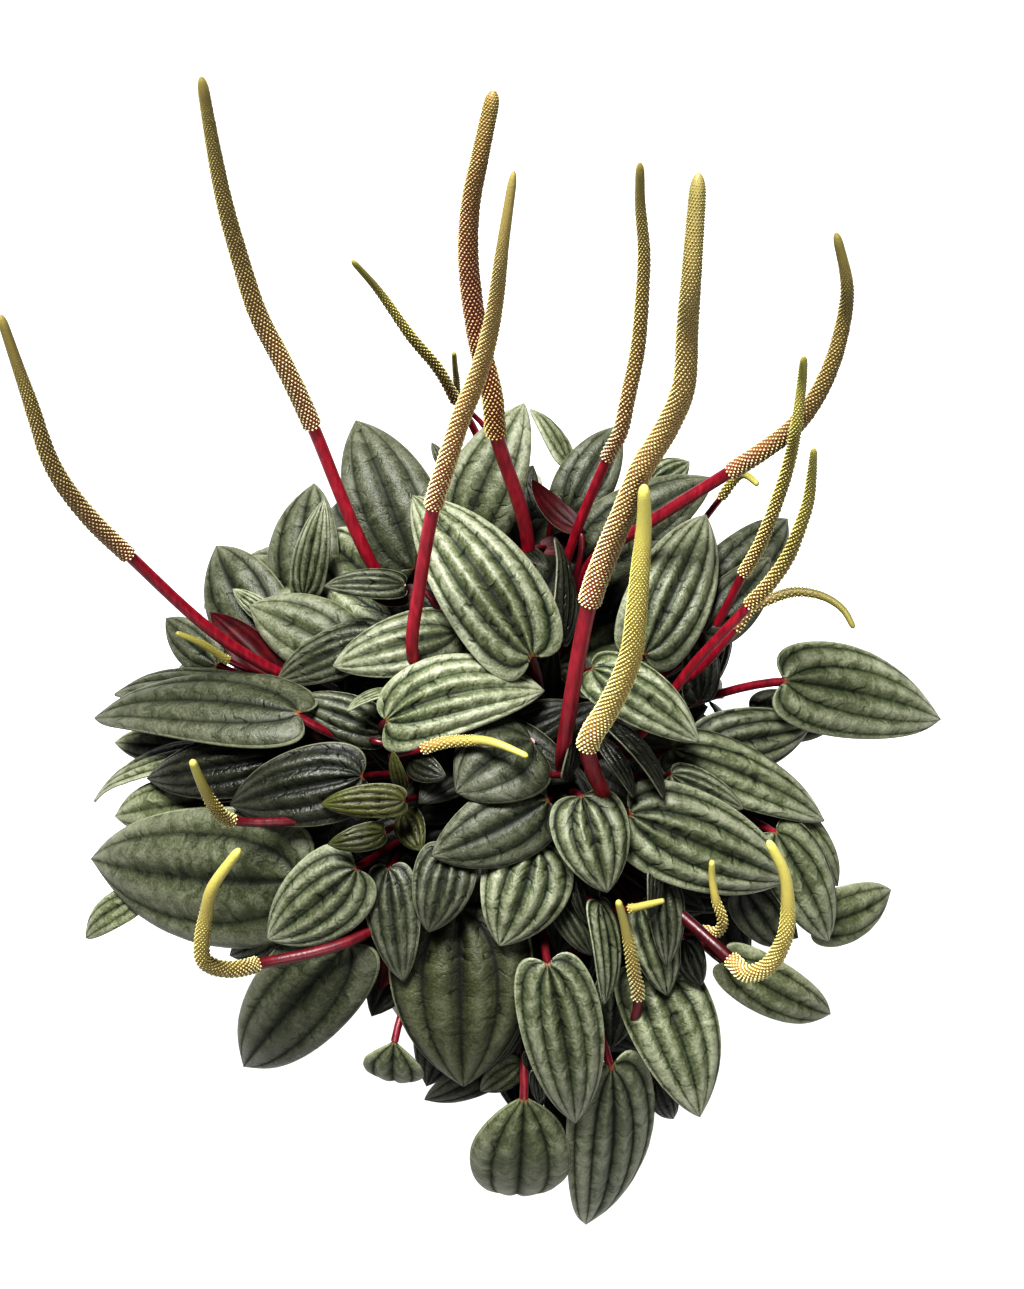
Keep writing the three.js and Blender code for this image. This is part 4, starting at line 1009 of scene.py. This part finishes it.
# ---- The petioles ----
# Each leaf stands on its own fleshy crimson stalk, 2.5 mm thick, that grows out of the crown and meets
# the blade at its foot, from below.
CROWN = np.array([0.0, CROWN_SETBACK, 98.0])
ROOT_DEPTH = 13.0
LOWEST_ROOT = CROWN_BOTTOM + 13
PETIOLE_RADIUS = 1.05
SMALL_LEAF_SHARE = 0.6
FULL_LEAF_WIDTH = 24.0
PETIOLE_REACH = 0.16
PETIOLE_DROP = 13.0
PETIOLE_HOLD = 0.02
ROOT_PULL = 0.35
PETIOLE_ROWS = 12
# painted light and shade: petioles of outer and brightly lit leaves are made lighter, those of dark and
# shaded leaves darker
PETIOLE_PAINTED_LIGHT = {"soft": 1.7, "far": 1.7, "pale": 1.4, "silver": 1.2, "green": 1.2, "light": 2.3}
PETIOLE_PAINTED_LIGHT |= {"dark": 0.8, "shade": 0.6}
# painted shade: the petioles' reds are darker than the stalks', for petioles lying in shadow
PETIOLE_REDS_IN_PAINTED_SHADE = ((0.018, 0.001, 0.002), (0.045, 0.001, 0.004), (0.080, 0.004, 0.007))
STEM_SIDES = 10


def stem_skin(name, dark, middle, light):
    """The smooth skin of a stem: one red, streaked lengthways and dusky in patches, and made lighter or
    darker by the painted light and shade that its path keeps.
    """
    skin, tree, shader, place = surface(name, 0.4, 0.3)
    fibres = add_node(tree, "ShaderNodeMapping", {"Vector": place, "Scale": (1, 0.35, 0.2)}).outputs[0]
    streaks = speckle(tree, fibres, 1100, 3)
    red = ramp(tree, streaks, [(0.3, dark), (0.55, middle), (0.8, light)])
    patches = maths(tree, "MULTIPLY", speckle(tree, place, 90, 2), 0.6)
    red = mixed(tree, patches, red, (*dark, 1))
    tree.links.new(brightened(tree, red, attribute(tree, "light_level")), shader.inputs["Base Color"])
    raise_surface(tree, shader, streaks, 0.00012, 0.7)
    return skin


petiole_skin = stem_skin("crimson petiole in painted shade", *PETIOLE_REDS_IN_PAINTED_SHADE)


def sweep(tree, path, sides, capped):
    """A tube along a path, as thick at each place as the path's own numbers say."""
    ring = add_node(tree, "GeometryNodeCurvePrimitiveCircle", {"Resolution": sides, "Radius": 1.0}).outputs[0]
    thick = add_node(tree, "GeometryNodeInputNamedAttribute", {"Name": "thick"}).outputs[0]
    inputs = {"Curve": path, "Profile Curve": ring, "Scale": thick, "Fill Caps": capped}
    return add_node(tree, "GeometryNodeCurveToMesh", inputs).outputs[0]


stem_tree, stem_keys, given = new_tree("stem along a path", {"Sides": "Int", "Material": "Material"})
path = add_node(stem_tree, "GeometryNodeMeshToCurve", {0: given["Geometry"]}).outputs[0]
stem = sweep(stem_tree, path, given["Sides"], True)
smooth = add_node(stem_tree, "GeometryNodeSetShadeSmooth", {"Geometry": stem}).outputs[0]
end_tree(stem_tree, smooth, given["Material"])


def add_paths(name, paths):
    """A mesh of bare lines. Each path is its places in millimetres and the numbers kept at each of them."""
    piece = bpy.data.objects.new(name, bpy.data.meshes.new(name))
    places = np.concatenate([places for places, numbers in paths]) * MM
    edges, first = [], 0
    for points, numbers in paths:
        edges += [(first + i, first + i + 1) for i in range(len(points) - 1)]
        first += len(points)
    piece.data.from_pydata([tuple(p) for p in places], edges, [])
    for label in paths[0][1]:
        values = np.concatenate([numbers[label] for points, numbers in paths]).astype(np.float32)
        piece.data.attributes.new(label, "FLOAT", "POINT").data.foreach_set("value", values)
    bpy.context.scene.collection.objects.link(piece)
    return piece


def crown_reach(place):
    """How far from the crown's middle its surface lies, in the direction of a place."""
    reach = place - CROWN
    shares = reach / [CROWN_RADIUS, CROWN_DEPTH_SHARE * CROWN_RADIUS, CROWN_TOP - CROWN[2]]
    return np.linalg.norm(reach) / np.linalg.norm(shares)


def root_toward(target):
    """The place a little inside the crown that a stem to this target stands out of."""
    reach = target - CROWN
    depth = min(crown_reach(target), np.linalg.norm(reach)) - ROOT_DEPTH
    root = CROWN + unit(reach) * depth
    root[2] = max(root[2], LOWEST_ROOT)
    return root


def petiole_path(blade):
    join = blade["base"] + blade["along"] * PETIOLE_HOLD * blade["length"]
    join = join - blade["face"] * BLADE_THICKNESS / 2
    below = join - blade["along"] * PETIOLE_REACH * blade["length"] - blade["face"] * PETIOLE_DROP
    join, below = blade["to_part"](join), blade["to_part"](below)
    root = root_toward(below)
    out = root + unit(root - CROWN) * ROOT_PULL * np.linalg.norm(below - root)
    share = np.linspace(0, 1, PETIOLE_ROWS)[:, None]
    early, late = 3 * share * (1 - share) ** 2, 3 * share**2 * (1 - share)
    places = (1 - share) ** 3 * root + early * out + late * below + share**3 * join
    growth = SMALL_LEAF_SHARE + (1 - SMALL_LEAF_SHARE) * min(1, blade["width"] / FULL_LEAF_WIDTH)
    thick = np.full(PETIOLE_ROWS, PETIOLE_RADIUS * growth * MM)
    light_level = np.full(PETIOLE_ROWS, PETIOLE_PAINTED_LIGHT.get(blade["look"], 1.0))
    return places, {"thick": thick, "light_level": light_level}


petioles = add_paths("petioles", [petiole_path(blade) for blade in front_blades + shade_blades + back_blades])
grow(petioles, stem_tree, stem_keys, {"Sides": STEM_SIDES, "Material": petiole_skin})
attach(petioles, "root")
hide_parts("foliage")

# ---- The flower stalks ----
# Each flower spike stands on a smooth crimson stalk, thicker than a petiole, that grows out of the crown
# between the leaves.
STALK_RADIUS_SHARE = 0.72
CURVE_STEPS = 24
STALK_STEP = 3.0
LEAST_STALK_ROWS = 4
SPADIX_HOLD = 1
SPIKE_SIDES = 14
STALK_REDS = ((0.045, 0.001, 0.004), (0.085, 0.002, 0.007), (0.130, 0.008, 0.014))
# Each spike is: its skin; the share of its spadix whose florets are grown; the spadix's radii, at its foot
# and at its tip; the depths where the stalk leaves the leaves, at its top and at the tip; the painted light
# and shade that brightens and darkens stalk and spadix; the places on the sheet that the stalk passes; and
# those of the spadix after them, to its tip.
SPIKE_PARTS = ("skin", "ripe", "radii", "depths", "light_level", "stalk", "spadix")
SPIKES = [
    ("olive", 1.0, (2.0, 1.0), (44, 70, 135), (2.3, 1.0), [(-35.5, 21), (-50, 55)],
     [(-56, 68), (-63.6, 83), (-68.3, 97.5), (-72, 111), (-75, 126), (-77.7, 142)]),
    ("olive", 0.75, (1.9, 1.0), (40, 62, 112), (1.2, 0.88), [(-69, -1), (-96, 22.5)],
     [(-105.8, 32), (-114.5, 44), (-120.6, 61), (-128, 82.5)]),
    ("rust", 1.2, (2.2, 1.4), (46, 72, 130), (2.2, 1.0), [(4, 25), (-4, 53)],
     [(-5, 62.5), (-8, 74.5), (-10, 86.5), (-11, 98.5), (-10.3, 110.5), (-8, 122), (-4.5, 138.5)]),
    ("cream", 0.8, (2, 0.8), (50, 82, 150), (2.0, 1.02), [(-24.5, -4), (-23, 15), (-19.5, 35)],
     [(-16.5, 45), (-13, 56), (-9, 66), (-6, 76), (-4, 86.5), (-2.5, 98.5), (0.5, 118.5)]),
    ("olive", 1.1, (1.6, 0.8), (42, 64, 122), (1.7, 1.0), [(14.5, 23.5), (24, 47)],
     [(27, 53), (29, 62), (31.5, 74.5), (32.5, 86.5), (33, 98.5), (32, 110.5), (32, 120.5)]),
    ("cream", 0.95, (2.4, 1.4), (32, 88, 165), (1.6, 1.0), [(12, -36), (13, -25), (19.5, 11)],
     [(24, 23.5), (28, 33), (32.5, 44), (38.6, 54), (42.8, 64), (43.8, 78.5), (44.7, 90.5), (46.7, 118)]),
    ("golden", 0.75, (2.5, 1.2), (48, 70, 122), (1.4, 1.1), [(23, -40), (19, -25)],
     [(24, -16), (27.5, -9), (30, -1.5), (31, 7), (32, 18), (33, 30), (33, 40)]),
    ("olive", 0.85, (1.9, 0.9), (44, 70, 125), (1.0, 0.88), [(19.5, 20), (32, 29), (55, 43.5)],
     [(62, 48), (70, 54), (75.5, 61), (80.1, 70.5), (83.2, 82.5), (83.7, 90.5), (81, 103)]),
    ("leafy", 0.4, (1.1, 0.7), (26, 34, 48), (1.2, 1.0), [(49, 32.5), (52.5, 37)],
     [(55, 40.5), (58, 42.5), (61.5, 40)]),
    ("leafy", 0.9, (1.4, 0.8), (40, 56, 112), (1.4, 1.15), [(48, 1), (58, 18)],
     [(62, 25), (65, 32.5), (68, 41), (70, 48.5), (71, 54), (72.5, 66), (73, 72)]),
    ("leafy", 0.9, (1.5, 0.7), (42, 70, 112), (1.4, 1.05), [(32, -22.5), (44.5, -6), (59.5, 10)],
     [(65, 16), (69, 22), (71.5, 28), (74, 35.5), (75, 43), (75.5, 49)]),
    ("leafy", 0.6, (1.2, 0.7), (44, 54, 60), (1.2, 0.7), [(46, -7), (56, 4)],
     [(60, 9), (65, 11.5), (69.5, 13), (74, 13), (79, 11.5), (83, 8.5), (85.5, 4)]),
    ("leafy", 0.7, (1.3, 0.7), (14, 24, 70), (1.2, 1.0), [(-8, 50), (-14, 61)],
     [(-18.5, 69), (-25.2, 77), (-33.4, 88.5), (-40, 96)]),
    ("leafy", 0.5, (0.9, 0.6), (6, 14, 36), (1.0, 1.0), [(-5, 51), (-13, 61)],
     [(-14, 67), (-14.5, 73)]),
    ("golden", 0.45, (1.5, 0.9), (48, 54, 78), (0.5, 0.8), [(-53, -44), (-70, -44)],
     [(-74, -41), (-77, -36), (-80, -29)]),
    ("golden", 0.55, (1.8, 1), (46, 54, 88), (0.6, 0.8), [(-38, -73), (-64, -80)],
     [(-68, -81), (-73, -81), (-77, -79), (-77.5, -74), (-76.5, -67.5), (-75, -61), (-68, -51)]),
    ("golden", 0.45, (1.3, 0.7), (46, 54, 64), (0.8, 0.85), [(-30, -28), (-22, -26)],
     [(-17, -24.5), (-12, -24), (-7, -24), (-3, -25), (4, -28)]),
    ("golden", 0.6, (1.9, 1), (42, 54, 92), (0.32, 1.05), [(38, -64), (55, -79)],
     [(58, -82), (61, -82), (64.5, -80), (67, -76), (68.5, -72), (69, -65), (68, -57), (64, -49)]),
    ("golden", 0.55, (1.2, 0.7), (34, 42, 62), (0.5, 1.0), [(37, -71.5), (48, -71.5)],
     [(51, -72), (52.5, -70.5), (52.5, -68), (51, -64), (50, -58), (50, -54)]),
    ("golden", 0.55, (1.5, 0.8), (36, 42, 68), (0.7, 0.9), [(30, -94), (31.5, -88)],
     [(30.5, -82), (29.5, -76), (28, -69.5), (26.5, -64)]),
    ("golden", 0.1, (1, 0.6), (47, 53, 58), (0.6, 0.7), [(24, -66), (29.5, -66)],
     [(34, -65), (38, -64)]),
    ("golden", 0.1, (1, 0.6), (30, 34, 42), (0.8, 0.8), [(-62, -8), (-71, -4)],
     [(-77, 0), (-84, 3)]),
]
spikes = [dict(zip(SPIKE_PARTS, row)) for row in SPIKES]


def smooth_line(points):
    """A centripetal Catmull-Rom curve through the points, as a fine line with its length at each place."""
    points = [2 * points[0] - points[1], *points, 2 * points[-1] - points[-2]]
    line = []
    u = np.linspace(0, 1, CURVE_STEPS, endpoint=False)[:, None]
    for p0, p1, p2, p3 in zip(points, points[1:], points[2:], points[3:]):
        d0, d1, d2 = (math.sqrt(np.linalg.norm(b - a)) for a, b in ((p0, p1), (p1, p2), (p2, p3)))
        leave = ((p1 - p0) / d0 - (p2 - p0) / (d0 + d1) + (p2 - p1) / d1) * d1
        arrive = ((p2 - p1) / d1 - (p3 - p1) / (d1 + d2) + (p3 - p2) / d2) * d1
        bow = 3 * (p2 - p1) - 2 * leave - arrive
        swing = 2 * (p1 - p2) + leave + arrive
        line.append(p1 + leave * u + bow * u**2 + swing * u**3)
    line = np.concatenate([*line, [points[-2]]])
    lengths = np.concatenate([[0], np.cumsum(np.linalg.norm(np.diff(line, axis=0), axis=1))])
    return line, lengths


def places_at(line, lengths, distances):
    return np.stack([np.interp(distances, lengths, line[:, axis]) for axis in range(3)], -1)


def spike_line(spike):
    """The line that a whole spike follows, and how far along it the spadix starts."""
    low, joint, high = spike["depths"]
    stalk, spadix = spike["stalk"], spike["spadix"]
    depths = [*np.linspace(low, joint, len(stalk)), *np.linspace(joint, high, len(spadix) + 1)[1:]]
    places = sheet_to_part([(across, up, depth) for (across, up), depth in zip(stalk + spadix, depths)])
    line, lengths = smooth_line([root_toward(places[0]), *places])
    return line, lengths, lengths[CURVE_STEPS * len(stalk)]


stalk_skin = stem_skin("crimson flower stalk", *STALK_REDS)
for number, spike in enumerate(spikes, 1):
    line, lengths, joint = spike_line(spike)
    rows = np.linspace(0, joint + SPADIX_HOLD, max(LEAST_STALK_ROWS, round(joint / STALK_STEP)))
    thick = np.full(len(rows), spike["radii"][0] * STALK_RADIUS_SHARE * MM)
    # painted light and shade: each stalk's red is made lighter or darker by its spike's own level
    numbers = {"thick": thick, "light_level": np.full(len(rows), spike["light_level"][0])}
    stalk = add_paths(f"crimson_stalk_{number:02d}", [(places_at(line, lengths, rows), numbers)])
    grow(stalk, stem_tree, stem_keys, {"Sides": SPIKE_SIDES, "Material": stalk_skin})
    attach(stalk, "root")
    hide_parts(f"flower_stalk_{number:02d}")

# ---- The spadices ----
# Each stalk carries a slender fleshy spike, set all over with tiny round florets in slanting rows. They
# are cream beads where the spike is ripe, at its foot, and sink into the smooth tip that is still growing.
FLORET_SPACING = 0.9
LEAST_FLORETS_ROUND = 8
ROW_SHARE = 0.92
FLORET_SHARE = 0.30
FLORET_RANGE = (0.82, 1.16)
FLORET_SINK = 0.98
CORE_SHARE = 0.94
SMALLEST_FLORET = 0.02 * MM
RIPEST = 1.35
RIPENESS_FALL = 0.5
RIPENESS_END = 4
RIPE_COLOURS_FROM = 0.5
TIP_TAPER = 0.035
TIP_BLUNTNESS = 0.02
CORE_STEP = 1.6
LEAST_CORE_ROWS = 6
CORE_END = 0.96
TIP_ROWS = [0.975, 0.987, 0.995, 1.0]
SPADIX_SKINS = {
    "olive": {
        "core": [(0.0, (0.130, 0.038, 0.020)), (0.35, (0.088, 0.050, 0.018)), (1.0, (0.096, 0.080, 0.024))],
        "floret": [(0.0, (0.270, 0.240, 0.145)), (0.35, (0.180, 0.145, 0.068)), (1.0, (0.145, 0.125, 0.042))],
    },
    "rust": {
        "core": [(0.0, (0.100, 0.018, 0.009)), (0.5, (0.085, 0.024, 0.013)), (1.0, (0.100, 0.068, 0.022))],
        "floret": [(0.0, (0.250, 0.205, 0.080)), (0.4, (0.190, 0.115, 0.066)), (1.0, (0.150, 0.132, 0.052))],
    },
    "leafy": {
        "core": [(0.0, (0.085, 0.034, 0.013)), (0.4, (0.075, 0.056, 0.014)), (1.0, (0.120, 0.110, 0.028))],
        "floret": [(0.0, (0.260, 0.235, 0.110)), (0.4, (0.200, 0.175, 0.066)), (1.0, (0.155, 0.148, 0.044))],
    },
    "cream": {
        "core": [(0.0, (0.135, 0.032, 0.015)), (0.4, (0.140, 0.078, 0.030)), (1.0, (0.112, 0.094, 0.032))],
        "floret": [(0.0, (0.320, 0.300, 0.170)), (0.4, (0.240, 0.200, 0.092)), (1.0, (0.125, 0.112, 0.046))],
    },
    "golden": {
        "core": [(0.0, (0.120, 0.062, 0.018)), (0.35, (0.155, 0.110, 0.030)), (1.0, (0.230, 0.212, 0.058))],
        "floret": [(0.0, (0.310, 0.295, 0.155)), (0.4, (0.240, 0.208, 0.080)), (1.0, (0.220, 0.204, 0.056))],
    },
}
spadix_skins = {}
for name, stops in SPADIX_SKINS.items():
    skin, tree, shader, place = surface(f"{name} spadix", 0.5, 0.22)
    up, floret = attribute(tree, "up"), attribute(tree, "floret")
    fleck = maths(tree, "SUBTRACT", speckle(tree, place, 900, 2), 0.5)
    drift = maths(tree, "MULTIPLY_ADD", fleck, 0.25, up)
    colour = mixed(tree, floret, ramp(tree, drift, stops["core"]), ramp(tree, drift, stops["floret"]))
    # painted light and shade: the spadix's colour is made lighter or darker by its spike's own level
    tree.links.new(brightened(tree, colour, attribute(tree, "light_level")), shader.inputs["Base Color"])
    raise_surface(tree, shader, speckle(tree, place, 2600, 2), 0.00012, 0.8)
    spadix_skins[name] = skin

floret_sizes = {"Florets Round": "Int", "Size": "Float", "Seed": "Int"}
floret_tree, floret_keys, given = new_tree("florets round a spadix", floret_sizes | {"Material": "Material"})
path = add_node(floret_tree, "GeometryNodeMeshToCurve", {0: given["Geometry"]}).outputs[0]
odd_row = maths(floret_tree, "MODULO", add_node(floret_tree, "GeometryNodeInputIndex").outputs[0], 2.0)
half_step = maths(floret_tree, "DIVIDE", math.pi, given["Florets Round"])
tilt = maths(floret_tree, "MULTIPLY", odd_row, half_step)
turned_path = add_node(floret_tree, "GeometryNodeSetCurveTilt", {"Curve": path, "Tilt": tilt}).outputs[0]
lattice = sweep(floret_tree, turned_path, given["Florets Round"], False)
bead = add_node(floret_tree, "GeometryNodeMeshIcoSphere", {"Radius": 1.0, "Subdivisions": 1}).outputs[0]
marking = {"Geometry": bead, "Name": "floret", "Value": 1.0}
marked = add_node(floret_tree, "GeometryNodeStoreNamedAttribute", marking).outputs[0]
out = add_node(floret_tree, "GeometryNodeInputNormal").outputs[0]
turn = add_node(floret_tree, "FunctionNodeAlignRotationToVector", {"Vector": out}, axis="Z").outputs[0]
grown = add_node(floret_tree, "GeometryNodeInputNamedAttribute", {"Name": "grown"}).outputs[0]
spread = {2: FLORET_RANGE[0], 3: FLORET_RANGE[1], "Seed": given["Seed"]}
vary = add_node(floret_tree, "FunctionNodeRandomValue", spread).outputs[1]
size = maths(floret_tree, "MULTIPLY", maths(floret_tree, "MULTIPLY", grown, vary), given["Size"])
compared = {0: grown, 1: SMALLEST_FLORET}
present = add_node(floret_tree, "FunctionNodeCompare", compared, operation="GREATER_THAN").outputs[0]
copies = {"Points": lattice, "Selection": present, "Instance": marked, "Rotation": turn, "Scale": size}
beads = add_node(floret_tree, "GeometryNodeInstanceOnPoints", copies).outputs[0]
smooth = add_node(floret_tree, "GeometryNodeSetShadeSmooth", {"Geometry": beads}).outputs[0]
end_tree(floret_tree, smooth, given["Material"])


def spadix_radius(spike, up):
    foot, tip = spike["radii"]
    end = np.clip((up - 1 + TIP_TAPER) / TIP_TAPER, 0, 1)
    return (foot + (tip - foot) * up**2) * np.sqrt(np.maximum(TIP_BLUNTNESS, 1 - end**2))


def spadix_path(spike, line, lengths, joint, ups, radii):
    """The places at these shares of a spike's spadix, and the numbers kept at each of them."""
    unripe = min(1, spike["ripe"] / RIPE_COLOURS_FROM)
    numbers = {"thick": radii * MM, "up": 1 - (1 - ups) * unripe, "light_level": np.full(len(ups), spike["light_level"][1])}
    return places_at(line, lengths, joint + ups * (lengths[-1] - joint)), numbers


for number, spike in enumerate(spikes, 1):
    line, lengths, joint = spike_line(spike)
    total = lengths[-1] - joint
    florets_round = max(LEAST_FLORETS_ROUND, round(2 * math.pi * spike["radii"][0] / FLORET_SPACING))
    ups, reached = [], 0.0
    while reached < total:
        ups.append(reached / total)
        reached += ROW_SHARE * 2 * math.pi * spadix_radius(spike, np.array(ups[-1])) / florets_round
    ups = np.array(ups)
    radius = spadix_radius(spike, ups)
    unopened = np.clip(ups - spike["ripe"], 0, 1)
    ripeness = np.clip(RIPEST - RIPENESS_FALL * ups / spike["ripe"] - RIPENESS_END * unopened, 0, 1)
    grown = radius * ripeness * 2 * math.pi / florets_round * MM
    places, numbers = spadix_path(spike, line, lengths, joint, ups, radius * FLORET_SINK)
    florets = add_paths(f"florets_{number:02d}", [(places, numbers | {"grown": grown})])
    sizes = {"Florets Round": florets_round, "Size": FLORET_SHARE, "Seed": number}
    grow(florets, floret_tree, floret_keys, sizes | {"Material": spadix_skins[spike["skin"]]})
    core_rows = max(LEAST_CORE_ROWS, round(total / CORE_STEP))
    ups = np.concatenate([np.linspace(0, CORE_END, core_rows), TIP_ROWS])
    core = spadix_path(spike, line, lengths, joint, ups, spadix_radius(spike, ups) * CORE_SHARE)
    spadix = add_paths(f"flower_spadix_{number:02d}", [core])
    grow(spadix, stem_tree, stem_keys, {"Sides": SPIKE_SIDES, "Material": spadix_skins[spike["skin"]]})
    with bpy.context.temp_override(active_object=spadix, selected_editable_objects=[spadix, florets]):
        bpy.ops.object.join()
    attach(spadix, "root")
    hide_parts(f"spadix_{number:02d}")

# ---- The floor, the light and the camera ----
# A plain white table top runs out of sight on all sides, in a soft white room. One broad soft light hangs
# high above the plant, and a weak one fills in from the front.
FLOOR_REACH = 6.0
ROOM_LIGHT = 0.12
WALL_GLOW = 1.0
TABLE_GLOW = 0.8
TABLE_GREYS = [(0.3, (0.115, 0.115, 0.115)), (0.7, (0.125, 0.125, 0.125))]
table_top, tree, shader, place = surface("plain white table top", 0.7, 0.2)
paint(tree, shader, speckle(tree, place, 3, 2), TABLE_GREYS)
shader.inputs["Emission Color"].default_value = (1, 1, 1, 1)
shader.inputs["Emission Strength"].default_value = TABLE_GLOW
corners = [(x * FLOOR_REACH, y * FLOOR_REACH, 0) for x, y in ((-1, -1), (1, -1), (1, 1), (-1, 1))]
floor = add_object("table_top", corners, [(0, 1, 2, 3)], table_top, smooth=False)
floor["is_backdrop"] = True

world = bpy.data.worlds.new("soft white room")
world.use_nodes = True
world.node_tree.nodes["Background"].inputs["Color"].default_value = (1, 1, 1, 1)
seen = add_node(world.node_tree, "ShaderNodeLightPath").outputs["Is Camera Ray"]
light_level = maths(world.node_tree, "MULTIPLY_ADD", seen, WALL_GLOW - ROOM_LIGHT, ROOM_LIGHT)
world.node_tree.links.new(light_level, world.node_tree.nodes["Background"].inputs["Strength"])
bpy.context.scene.world = world

# Each softbox is: its name, its place, how wide it is, and its power. Both face the middle of the plant.
LIGHT_AIM = Vector((0, 0, 0.12))
for name, place, width, power in (
    ("key_softbox", (-0.20, 0.16, 1.14), 0.40, 60.0),
    ("fill_softbox", (0.35, -0.85, 0.75), 0.70, 8.0),
):
    light = bpy.data.lights.new(name, "AREA")
    light.shape = "DISK"
    light.size = width
    light.energy = power
    lamp = bpy.data.objects.new(name, light)
    lamp.location = place
    lamp.rotation_euler = (LIGHT_AIM - Vector(place)).to_track_quat("-Z", "Y").to_euler()
    bpy.context.scene.collection.objects.link(lamp)

# The camera looks straight at the sheet, and takes in this height of it.
FRAME_HEIGHT = 322.25
SENSOR = 36.0
NEAREST_SEEN = 0.01
toward_eye = np.array([0, -math.cos(SHEET_ELEVATION), math.sin(SHEET_ELEVATION)])
camera = bpy.data.objects.new("camera", bpy.data.cameras.new("camera"))
camera.data.sensor_width = SENSOR
camera.data.lens = SENSOR * EYE_DISTANCE / FRAME_HEIGHT
camera.location = (SHEET_MIDDLE + EYE_DISTANCE * toward_eye) * MM
camera.rotation_euler = (math.pi / 2 - SHEET_ELEVATION, 0, 0)
camera.data.clip_start = NEAREST_SEEN
bpy.context.scene.collection.objects.link(camera)
bpy.context.scene.camera = camera
bpy.context.scene.view_settings.view_transform = "Standard"
bpy.context.scene.view_settings.look = "High Contrast"

sizes = {"cad": [list(corner) for corner in cad_box], "visual": [list(corner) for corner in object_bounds()]}
